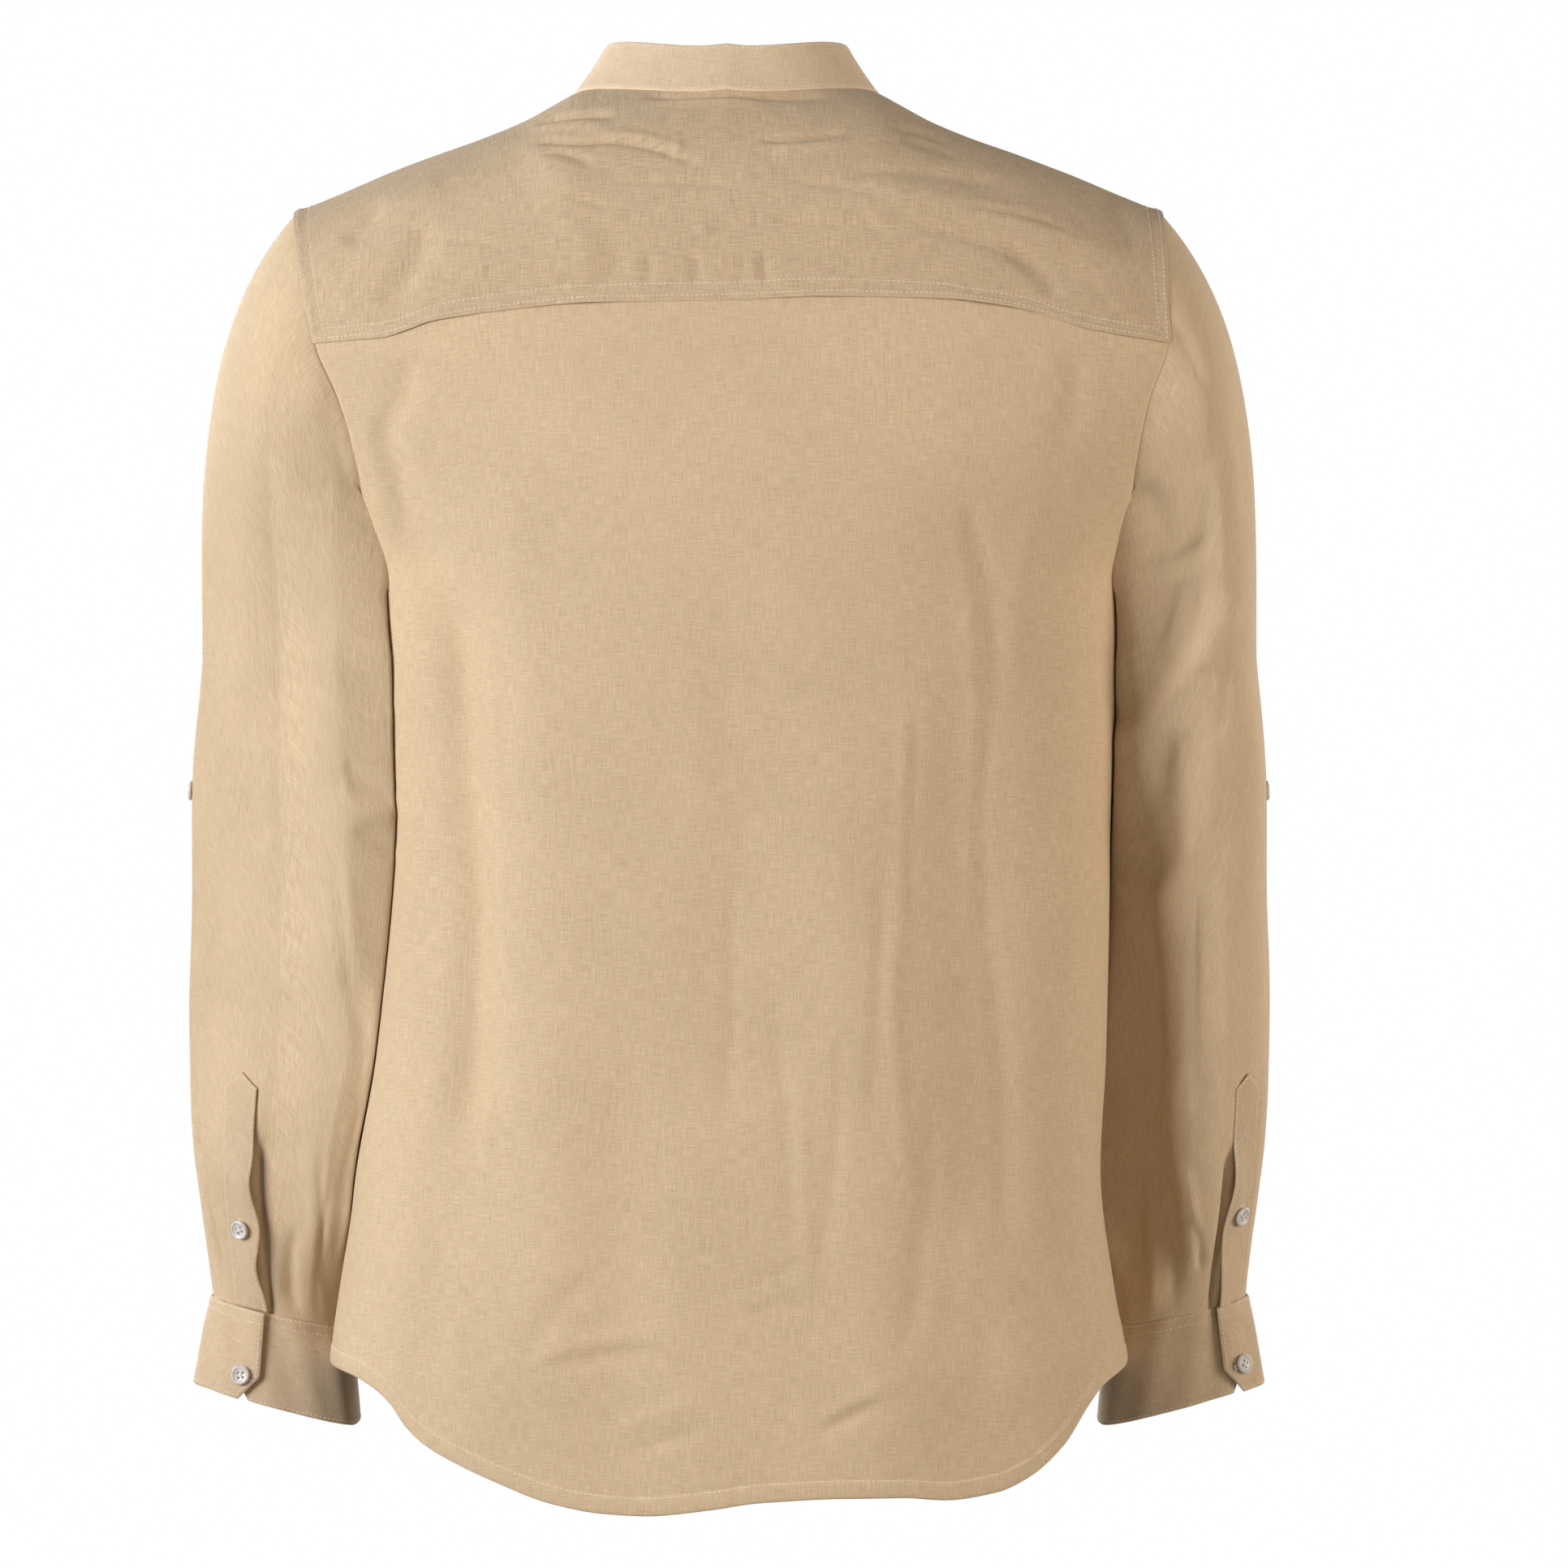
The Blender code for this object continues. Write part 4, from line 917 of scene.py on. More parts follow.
# The collar's cloth is painted lighter than the rest: painted light for the light from above that
# falls on the tilted collar.
collar_cloth_painted_light = cloth_material("sand linen of the collar, painted lighter", (0.83, 0.645, 0.45),
                              (0.68, 0.52, 0.35), patch=0.05, pucker=0.7, crinkled=0.04)
print("cloth materials:", sand_cloth.name, doubled_cloth_painted_shade.name, stiff_cloth_painted_shade.name, sep="; ")

# %% [markdown]
# ## The back
# The back is one panel from the yoke down to the curved hem. Its edges lap a little over
# the sleeves and the fronts, as a felled seam does. The hem is turned up twice, so its last
# centimetre is thicker, with a shallow furrow where the stitches draw it in.

# %% Shape of the lower panels
TORSO_AXIS = np.array([0.0, 0.0, -330.0])
HEM_DEPTH = 9.3
HEM_LINES = (0.0, 1.0, 2.6, 4.5, 6.5, 8.0, 8.8, HEM_DEPTH, 9.9, 10.8, 12.5, 15.0)
HEM_LAYERS = 1.0                # what the turned cloth adds to the thickness
LAP_RISE = 0.12                 # how far a felled edge stands off
LAP_REACH = 6.5                 # and over how much of the panel
LAP_FLAT = 1.5                  # after this much that is lifted all the way
HEM_EDGE = 1.2                  # the hem's fold is thinner up to here
TURNED_END, TURNED_FADE = 0.7, 0.9      # the turned cloth ends this far above the stitches
FURROW_DEPTH, FURROW_WIDTH = 0.32, 0.8
SETTLE_REACH, SETTLE_ROUNDS = 30.0, 120
SEAM_PLAIN, SEAM_FADE = 7.0, 16.0       # no creases beside the side seams
HEM_HALF_WIDTH, HEM_FADE, HEM_CALM = 215.0, 14.0, 0.4
BODY_WAVES = 0.35
ARMHOLE_LINES = 58
LOW_LINES = 150


def hem_slant(face, columns):
    """How much longer a line up the panel is than the straight way off the slanting hem."""
    points = section_point(face, columns, hem_height(face, across_of(face, columns, ARMPIT_Z)))
    steps = np.gradient(points, axis=0)
    level = np.hypot(steps[:, 0], steps[:, 1])
    slant = np.hypot(level, steps[:, 2]) / np.maximum(level, 1e-6)
    kernel = np.ones(7) / 7
    padded = np.pad(np.minimum(slant, 1.9), 3, mode="edge")
    return np.convolve(padded, kernel, mode="valid")


def torso_lines(face, columns, top):
    """Level lines of the torso from a top height down to the hem."""
    hem = hem_height(face, across_of(face, columns, ARMPIT_Z))
    slant = hem_slant(face, columns)
    last = hem + HEM_LINES[-1] * slant
    lines = []
    for share in np.linspace(0, 1, ARMHOLE_LINES + 1):
        fraction = blend(share, math.sin(share * math.pi / 2), columns ** 2)
        lines.append(section_point(face, columns, blend(top, ARMPIT_Z, fraction)))
    for share in np.linspace(0, 1, LOW_LINES + 1)[1:]:
        lines.append(section_point(face, columns, blend(ARMPIT_Z, last, share)))
    for distance in HEM_LINES[-2::-1]:
        lines.append(section_point(face, columns, hem + distance * slant))
    return settled(np.array(lines), columns)


def settled(points, columns):
    """Let the cloth run smoothly past the height of the armpit, away from the armhole."""
    near = np.exp(-((points[..., 2] - ARMPIT_Z) / SETTLE_REACH) ** 2) * (1 - columns ** 10)
    for _ in range(SETTLE_ROUNDS):
        between = (points[:-2] + points[2:]) / 2
        points[1:-1] += (between - points[1:-1]) * 0.5 * near[1:-1, :, None]
    return points


def shaped(face, points, creases):
    """Torso points with their folds and creases."""
    facing = outward(points, TORSO_AXIS)
    x, z = points[..., 0], points[..., 2]
    depth = fold_depth(face, points)
    from_seam = half_width(face, z) - np.abs(x - body("shift", z))
    from_hem = z - hem_height(face, np.clip(x / HEM_HALF_WIDTH, -1, 1))
    edge = ease((from_seam - SEAM_PLAIN) / SEAM_FADE)
    calm = ease(from_hem / HEM_FADE) * (1 - HEM_CALM) + HEM_CALM
    depth += crease_depth(creases, x, z) * edge * calm + slow_waves(x, z, BODY_WAVES) * edge
    return points + facing * depth[..., None]


def felled(panel, edges, rise=LAP_RISE, reach=LAP_REACH):
    """Lift the panel's edges over their neighbours."""
    lift = np.zeros(panel.points.shape[:2])
    for edge in edges:
        lift = np.maximum(lift, rise * ease(1 - (panel.distance(edge) - LAP_FLAT) / reach))
    panel.points = panel.points + panel.facing * lift[..., None]


def hemmed(panel, slant):
    """Thicken the turned hem, and draw it in along its stitches."""
    away = panel.distance("bottom") / slant
    turned = ease((HEM_DEPTH + TURNED_END - away) / TURNED_FADE)
    furrow = FURROW_DEPTH * np.exp(-((away - HEM_DEPTH) / FURROW_WIDTH) ** 2)
    panel.thick = panel.thick + HEM_LAYERS * turned * np.minimum(away / HEM_EDGE, 1)
    panel.points = panel.points - panel.facing * furrow[..., None]


BACK_COLUMNS = np.linspace(-1, 1, 221)
back_top = level_height(BACK, across_of(BACK, BACK_COLUMNS, LEVEL_Z)) + 0.3
back_points = shaped(BACK, torso_lines(BACK, BACK_COLUMNS, back_top), BACK_CREASES)
back_slant = hem_slant(BACK, BACK_COLUMNS)
back = Panel(back_points, TORSO_AXIS, turned=("left", "right"), taper=PRESSED)
felled(back, ("left", "right"))
if back.reversed:
    back_slant = back_slant[::-1]
back_slant = np.concatenate([back_slant[:1], back_slant, back_slant[-1:]])
hemmed(back, back_slant)
sew_in(back, "back_panel", "back", sand_cloth, sewn=("left", "right", "bottom"))

# %% [markdown]
# ## The yoke
# The yoke carries the shirt on the shoulders. Its grid runs from the neckline outwards, and
# sweeps round the neck from one front seam over the back to the other. Its outer edge is
# turned under and laps over the back, the fronts and the sleeves, so it casts a fine
# shadow. Here and there the edge has curled up a little between its stitches.

# %% Make the yoke
YOKE_NECK_ANGLE = 115.0         # the yoke's front seam leaves the neckline here
YOKE_FRONT_ROLL = 33.0          # and meets the armhole here
YOKE_CORNER = 0.56              # share of the neckline that faces the back seam
YOKE_LAP = 1.6                  # how far the yoke's edge covers what lies under it
NECK_LAP = 1.6                  # and how far it runs on under the collar
YOKE_RISE, YOKE_REACH = 0.95, 7.0   # its felled edge stands off higher than the others
YOKE_WAVES = 0.28
YOKE_CURLS = table("height at half_width", (1.3, -70, 12), (1.5, 132, 20))
YOKE_CREASE_SIZE = 1.3
YOKE_CREASES = table(
    "a0 b0 a1 b1 bow half_width depth",
    (-44, -12.5, 56, -12, 1, 2.6, -3.4),
    (-40, -17, 20, -16, 1, 2.4, 1.2),
    (-102, -25, -58, -24, 2, 2.2, -2.0),
    (-104, -30, -62, -30, 2, 2.8, 1.3),
    (-103, -38, -62, -38, -1, 2.1, -2.0),
    (-70, -38, -18, -51, 3, 2.2, -2.0),
    (-66, -34, -20, -46, 3, 2.4, 0.9),
    (-96, -46, -70, -54, 3, 2.4, -1.5),
    (-80, -72, -60, -78, 2, 2.2, -1.2),
    (16, -38, 62, -33, -2, 1.9, -2.3),
    (20, -42.5, 66, -38, -2, 2.4, 1.4),
    (86, -30, 118, -36, 2, 2.2, -1.6),
    (92, -38, 122, -45, 2, 3, -1.2),
    (-26, -34, -27, -50, 1, 2.0, 1.1),
    (-104, -34, -66, -112, 6, 13, 2.0),
    (-86, -66, -52, -120, 4, 10, -1.5),
    (-42, -100, -40, -117, 0, 2.6, -1.6),
    (-17, -100, -15, -117, 0, 2.4, -1.6),
    (8, -101, 9, -116, 0, 2.2, -1.2),
    (18, -98, 20, -117, 0, 2.3, -1.7),
    (-14, -84, -10, -92, 0, 1.8, 1.3),
    (-157, -80, -182, -128, 4, 9, -2.8),
    (-182, -66, -203, -92, 2, 5, -1.8),
    (-150, -58, -190, -74, 3, 7, 1.4),
    (144, -96, 176, -122, 3, 5, -2.4),
    (74, -66, 216, -104, 7, 7, 1.7),
    (88, -84, 200, -118, 5, 5, -1.5),
    (60, -56, 150, -62, 3, 4, -1.2),
    (120, -74, 186, -88, 3, 2.4, -1.1),
    (196, -60, 214, -96, 3, 6, -1.7),
    (-150, -92, -110, -100, 3, 2.6, -0.9),
    (30, -62, 84, -70, 2, 2.2, -0.9),
    (-60, -62, 10, -66, 2, 2.2, -0.8),
    (20, -84, 90, -88, 2, 2.4, -0.8))


def yoke_grid(columns=281, lines=84):
    corner = int(YOKE_CORNER * columns / 2)
    sweep = np.concatenate([np.linspace(0, YOKE_CORNER, corner + 1),
                            np.linspace(YOKE_CORNER, 1, columns // 2 - corner + 1)[1:]])
    sweep = np.concatenate([-sweep[:0:-1], sweep])
    neck_column, neck_roll, forward = neck_place(sweep * YOKE_NECK_ANGLE)
    neck_roll = np.where(forward, neck_roll, -neck_roll)
    size = np.abs(sweep)
    edge_column = np.clip(sweep / YOKE_CORNER, -1, 1)
    past = np.clip((size - YOKE_CORNER) / (1 - YOKE_CORNER), 0, 1)
    edge_roll = blend(-90.0, YOKE_FRONT_ROLL, past)
    rows = []
    for share in np.linspace(0, 1, lines):
        column = blend(neck_column, edge_column, share)
        roll = blend(neck_roll, edge_roll, share)
        back_side = shoulder_point(BACK, column, np.abs(roll))
        front_side = shoulder_point(FRONT, column, np.abs(roll))
        rows.append(np.where((roll < 0)[..., None], back_side, front_side))
    return np.array(rows)


def lengthened(points, neck_lap, outer_lap):
    """Carry a grid on past its first and its last row, straight along the cloth."""
    before = points[:1] + unit(points[:1] - points[1:2]) * neck_lap
    after = points[-1:] + unit(points[-1:] - points[-2:-1]) * outer_lap
    return np.concatenate([before, points, after])


yoke_points = yoke_grid()
facing = outward(yoke_points, TORSO_AXIS)
x, y, z = np.moveaxis(yoke_points, -1, 0)
behind = ease((RIDGE_Y - 6 - y) / 14)
depth = crease_depth(deeper(YOKE_CREASES, YOKE_CREASE_SIZE), x, z) * behind
depth += slow_waves(x * 1.1 + 40, y + z, YOKE_WAVES)
curl = sum(curled["height"] * np.exp(-((x - curled["at"]) / curled["half_width"]) ** 2)
           for curled in rows_of(YOKE_CURLS))
away = travel(yoke_points, 0)
away = away[-1:] - away
depth += curl * ease(1 - away / 5) * behind
depth *= ease(travel(yoke_points, 0) / 5) * 0.8 + 0.2
yoke_points = yoke_points + facing * depth[..., None]
yoke = Panel(lengthened(yoke_points, NECK_LAP, YOKE_LAP), TORSO_AXIS,
             turned=("bottom", "left", "right"))
felled(yoke, ("bottom", "left", "right"), YOKE_RISE, YOKE_REACH)


def across_the_shoulders(panel):
    """The yoke's grain runs straight across, whatever way its grid goes."""
    x, y, z = np.moveaxis(panel.points, -1, 0)
    return x, 125.0 * np.arctan2(RIDGE_Y - y, z - LEVEL_Z + 15.0)


sew_in(yoke, "yoke_panel", "yoke", doubled_cloth_painted_shade, sewn=ALL_ROUND,
       grain=across_the_shoulders)

# %% [markdown]
# ## The fronts
# The left front laps over the right one at the centre line. Both reach from the neckline
# and the yoke's front seam down to the hem. They use the torso's formulas, with columns
# that are closer together near the lap, where the edges are straight and must stay crisp.

# %% Make the fronts
LAP = 16.0                      # half of the overlap of the two fronts
LAP_RISE_START = 51.0
LAP_SLOPE = 26.0
LAP_LIFT = 1.65                 # the left front lies this far over the right one
PLAIN_TO, PLAIN_FADE = 18.0, 24.0   # no creases under the button band
FRONT_CREASE_SIZE = 1.6
FRONT_TOP_LINES = 46
FRONT_COLUMNS = (13, 20, 62)    # over the lap, on to the yoke's seam, and to the side


def lap_column(x):
    """Column of the front at a distance from the centre line."""
    return float(column_of(FRONT, x / half_width(FRONT, LEVEL_Z), LEVEL_Z))


def front_top_roll(columns):
    """Roll at which a column of the front ends: at the neckline or at the yoke."""
    angles = np.linspace(YOKE_NECK_ANGLE, 180, 120)
    neck_column, neck_roll, _ = neck_place(angles)
    size = np.abs(columns)
    at_neck = np.interp(size, neck_column[::-1], neck_roll[::-1])
    share = np.clip((size - neck_column[0]) / (1 - neck_column[0]), 0, 1)
    at_yoke = blend(neck_roll[0], YOKE_FRONT_ROLL, share)
    return np.where(size < neck_column[0], at_neck, at_yoke)


def front_grid(side):
    lap = lap_column(LAP)
    seam = neck_place(YOKE_NECK_ANGLE)[0]
    over, middle, outer = FRONT_COLUMNS
    columns = side * np.concatenate([np.linspace(-lap, lap, over),
                                     np.linspace(lap, seam, middle)[1:],
                                     np.linspace(seam, 1, outer)[1:]])
    lower = torso_lines(FRONT, columns, LEVEL_Z + 0 * columns)
    top_roll = front_top_roll(columns)
    upper = [shoulder_point(FRONT, columns, blend(top_roll, 90.0, share))
             for share in np.linspace(0, 1, FRONT_TOP_LINES + 1)[:-1]]
    return np.concatenate([np.array(upper), lower]), columns


def lapped(points, side):
    """The left front, lifted over the right one near the centre line."""
    if side == RIGHT:
        return points
    facing = outward(points, TORSO_AXIS)
    from_middle = points[..., 0] - body("shift", points[..., 2])
    lift = LAP_LIFT * ease((from_middle + LAP_RISE_START) / LAP_SLOPE)
    return points + facing * lift[..., None]


fronts = {}
for side, word in BOTH_SIDES:
    points, columns = front_grid(side)
    from_middle = np.abs(points[..., 0] - body("shift", points[..., 2]))
    loose = ease((from_middle - PLAIN_TO) / PLAIN_FADE)
    plain = points + outward(points, TORSO_AXIS) * fold_depth(FRONT, points)[..., None]
    creased = shaped(FRONT, points, deeper(FRONT_CREASES, FRONT_CREASE_SIZE))
    points = lapped(blend(plain, creased, loose[..., None]), side)
    front = Panel(points, TORSO_AXIS, turned=("left", "right"))
    slant = hem_slant(FRONT, columns)
    slant = slant[::-1] if front.reversed else slant
    hemmed(front, np.concatenate([slant[:1], slant, slant[-1:]]))
    fronts[side] = front
    sew_in(front, f"{word}_front_panel", f"{word}_front", sand_cloth,
           sewn=("bottom", "right", "top"))

# %% [markdown]
# ### The button band
# A strip of doubled cloth is folded onto the left front's edge to carry the buttonholes. It
# is made from the front's own first columns, moved out, so it follows every bend of them.

# %% Make the button band
BAND_CLOTH = 1.0
BAND_GAP = 0.15
left = fronts[LEFT]
edge_distance = left.distance("left").mean(axis=0)
inside_band = np.flatnonzero(edge_distance < 2 * LAP + 0.8)
band_base = left.points[:, inside_band]
band_out = left.facing[:, inside_band]
band_points = band_base + band_out * (CLOTH / 2 + BAND_GAP + BAND_CLOTH / 2)
band = Panel(band_points[2:], TORSO_AXIS, thickness=BAND_CLOTH, turned=("left", "right", "bottom"))
sew_in(band, "button_band_strip", "button_band", stiff_cloth_painted_shade,
       sewn=("left", "right", "bottom"))

# %% [markdown]
# ## The collar
# A mandarin collar is a straight band of two layers with a stiff one between. It stands on
# the neckline, leans in towards the neck, and its rounded ends overlap at the front. It is
# drawn as one thicker shell whose upper edge is turned, with a slight bow between its rows
# of stitches.

# %% Make the collar
COLLAR_AXIS = np.array([0.0, 5.0, -60.0])
COLLAR_HEIGHT = 32.0
COLLAR_RISE = 27.5              # its slope: up by this much
COLLAR_LEAN = 18.5              # for this much inwards
COLLAR_END = 195.0              # degrees round the neck from the centre back
COLLAR_CLOTH = 1.6
COLLAR_CORNER = 12.0
COLLAR_END_HEIGHT = 0.62
COLLAR_BOW = 3.0
COLLAR_GAP = 0.35               # half of the gap between its two ends where they overlap
COLLAR_FRONT, COLLAR_FADE = 140.0, 30.0     # it climbs onto the laps from this angle
COLLAR_SEAT, COLLAR_CLIMB = 0.1, 2.3    # it stands higher over the fronts, which lap


def collar_grid(columns=241, lines=26):
    angles = np.linspace(-COLLAR_END, COLLAR_END, columns)
    base = neck_point(angles)
    radians = np.radians(angles)
    inward = np.stack([-np.sin(radians), np.cos(radians), 0 * radians], axis=-1)
    spiral = (COLLAR_CLOTH / 2 + COLLAR_GAP) * -angles / COLLAR_END
    base = base - inward * spiral[:, None]
    from_end = np.minimum((COLLAR_END - np.abs(angles)) / COLLAR_CORNER, 1)
    rounded = blend(COLLAR_END_HEIGHT, 1.0, np.sqrt(1 - (1 - from_end) ** 2))
    along = unit(np.gradient(base, axis=0))
    stand = inward * COLLAR_LEAN + np.array([0, 0, COLLAR_RISE])
    stand = unit(stand - along * np.sum(stand * along, axis=-1, keepdims=True))
    over_fronts = ease((np.abs(angles) - COLLAR_FRONT) / COLLAR_FADE)[:, None]
    climb = COLLAR_SEAT + COLLAR_CLIMB * over_fronts
    wave = 0.35 * np.sin(radians * 7.3 + 0.6) + 0.25 * np.sin(radians * 13.1)
    rows = []
    for share in np.linspace(1, 0, lines):
        reach = COLLAR_HEIGHT * share * rounded[:, None]
        bow = COLLAR_BOW * share * (1 - share) + 0.7 * share * wave[:, None]
        rows.append(base + stand * (climb + reach) + inward * bow)
    return np.array(rows)


collar = Panel(collar_grid(), COLLAR_AXIS, thickness=COLLAR_CLOTH, turned=ALL_ROUND)
sew_in(collar, "collar_band", "collar", collar_cloth_painted_light, sewn=ALL_ROUND)

# %% [markdown]
# ## The sleeves
# A sleeve is a tube. Its head leaves the armhole outwards and bends down, and below it the
# sections are level and narrow towards the wrist. Angles round it start at the body: 90 is
# the back and 180 the outside. The tube is pushed clear of the body that it hangs beside.

# %% Measures of the sleeves
CAP_FLARE, ARMPIT_FLARE = 1.04, 0.10
CAP_SLOPE, ARMPIT_SLOPE = 47.0, 4.0
CAP_SHARE = 0.625
HEAD_TUCK = 0.6                 # the head starts this far inside the armhole's edge
SLEEVE_TOP_Z = -310.0
SLEEVE_END_Z = -674.0
SLEEVE_CLEARANCE = 2.8
WRIST_INNER = 209.0
WRIST_FROM_Z, WRIST_FADE = -500.0, 150.0
SLEEVE_SQUARENESS = 2.15
BACK_SQUARENESS = {LEFT: 9.0, RIGHT: 2.5}   # the left sleeve's back is flat beside the body
BACK_CORNER = {LEFT: 4.0, RIGHT: 2.3}       # and turns a narrow corner
BACK_SHELF = {LEFT: 16.0, RIGHT: -6.0}      # it stands out there, and the right one sinks in
BACK_LEAN = {LEFT: 17.0, RIGHT: 0.0}        # the flat back leans forward to the outer side
LOW_DIP = {LEFT: 0.0, RIGHT: 26.0}          # the right one sinks in deeper below the elbow
ELBOW_Z, LEAN_END_Z, FLAT_END_Z = -370.0, -600.0, -665.0
SQUARE_TOP = 5.0                # above the elbow both backs are at least this square
TOUCH_ANGLE = 50.0              # up to here, about, the sleeve touches the body
TOUCH = 1.6                     # there the sleeve lies this close to the body
HALF_SLEEVE = 45.0
DEGREE = 0.96                   # millimetres of cloth to a degree round the sleeve
PLACKET_ANGLE = {LEFT: 111.0, RIGHT: 131.0}
SLEEVE = table(
    "height outer centre_y inner_y half_depth tilt",
    (-674, 284.0, 50, 50, 34, 8.5),
    (-640, 287.5, 48, 49, 40, 7.0),
    (-612, 290.5, 46, 48, 46, 5.0),
    (-576, 294.0, 43, 46, 53, 2.5),
    (-541, 295.5, 40, 45, 58, 1.0),
    (-506, 295.8, 36, 44, 62, 0),
    (-436, 293.5, 29, 42, 67, 0),
    (-383, 292.5, 22, 39, 70, 0),
    (-310, 286.0, 10, 35, 73, 0))


def sleeve(column, height):
    return smooth(SLEEVE["height"], SLEEVE[column], height)


def body_side(side, y, height):
    """How far out the body reaches at a depth y."""
    seam = body("side_seam", height)
    reaches = []
    for face, middle in ((BACK, body("back", height)), (FRONT, body("front", height))):
        share = np.clip((y - seam) / (middle - seam), 0, 1)
        power = SQUARENESS[face]
        reaches.append(half_width(face, height) * (1 - share ** power) ** (1 / power))
    return np.minimum(*reaches) + side * body("shift", height)


def sleeve_depth(angle, height):
    """How far forward a section of the sleeve lies at an angle, in radians."""
    centre, inner = sleeve("centre_y", height), sleeve("inner_y", height)
    middle = blend(centre, inner, (1 + np.cos(angle)) / 2)
    bulge = squarer(np.sin(angle), 2 / SLEEVE_SQUARENESS)
    return middle - sleeve("half_depth", height) * bulge


def sleeve_inner(side, height):
    """Distance of the sleeve's inner side: clear of the body, then round the wrist."""
    outer = sleeve("outer", height)
    beside = 0 * height
    for angle in np.radians(range(-60, 61, 15)):
        depth = np.maximum(sleeve_depth(angle, height), body("side_seam", height))
        reach = body_side(side, depth, height) + SLEEVE_CLEARANCE
        share = math.cos(angle) ** (2 / SLEEVE_SQUARENESS)
        beside = np.maximum(beside, (2 * reach - outer * (1 - share)) / (1 + share))
    return blend(beside, WRIST_INNER, ease((WRIST_FROM_Z - height) / WRIST_FADE))


def beside_body(side, angle, height, x, y):
    """Flatten the sleeve's back, and lay its inner side against the body."""
    turn = np.clip(angle, 0, np.pi / 2)
    inner, outer = sleeve_inner(side, height), sleeve("outer", height)
    corner = np.cos(turn) ** (2 / BACK_CORNER[side])
    shelf = BACK_SHELF[side] - LOW_DIP[side] * ease((ELBOW_Z - height) / 60)
    lean = BACK_LEAN[side] * ease((height - LEAN_END_Z) / 110)
    square = np.maximum(BACK_SQUARENESS[side], SQUARE_TOP * ease((height - ELBOW_Z) / 60))
    back_y = sleeve_depth(np.pi / 2, height) + blend(lean, -shelf, corner)
    flat_y = blend(sleeve("inner_y", height), back_y, np.sin(turn) ** (2 / square))
    flat_x = blend((inner + outer) / 2, inner, corner)
    touching = body_side(side, flat_y, height) + TOUCH
    flat_x = blend(flat_x, touching, ease((np.radians(TOUCH_ANGLE) - turn) / np.radians(15)))
    share = ease((height - FLAT_END_Z) / 60) * (angle > 0) * (angle < np.pi / 2)
    outside = (angle >= np.pi / 2) * (angle < np.pi)
    y = y + outside * lean * np.sin(angle) * (1 + 2 * np.abs(np.cos(angle)))
    return blend(x, flat_x, share), blend(y, flat_y, share)


def sleeve_section(side, angle, height):
    """Level section of the sleeve: 0 is the inner side, 90 the back, 180 outside."""
    angle, height = np.broadcast_arrays(np.radians(angle), height)
    outer, inner = sleeve("outer", height), sleeve_inner(side, height)
    cosine = np.cos(angle)
    bulge = squarer(cosine, 2 / SLEEVE_SQUARENESS)
    x = (outer + inner) / 2 - (outer - inner) / 2 * bulge
    x, y = beside_body(side, angle, height, x, sleeve_depth(angle, height))
    z = height + sleeve("tilt", height) * (1 - cosine)
    return np.stack([side * x, y, z], axis=-1)


def sleeve_head(side, angle, share):
    """The sleeve between the armhole and its first level section."""
    start = armhole_point(side, angle)
    end = sleeve_section(side, angle, SLEEVE_TOP_Z + 0 * angle)
    chord = np.linalg.norm(end - start, axis=-1, keepdims=True)
    top = (1 - np.cos(np.radians(angle))) / 2
    slope = np.radians(blend(ARMPIT_SLOPE, CAP_SLOPE, ease(top / CAP_SHARE)))
    leave = np.stack([side * np.cos(slope), 0 * slope, -np.sin(slope)], axis=-1)
    start = start - leave * HEAD_TUCK
    flare = blend(ARMPIT_FLARE, CAP_FLARE, ease(top / CAP_SHARE))[..., None]
    leave = leave * chord * flare
    arrive = np.array([0, 0, -1.0]) * chord
    return hermite(share, start, leave, end, arrive)


# %% [markdown]
# The bent elbow and the pull of the shoulder crease the sleeves much more than the body.
# The right one has a bold slanting ridge over two deep hollows, with fine lengthwise
# wrinkles below. The left one is smoother. Near each wrist the cloth folds back along its
# outer side, and beside the slit it sinks in under the placket. Places are given by the
# angle round the sleeve and the height.

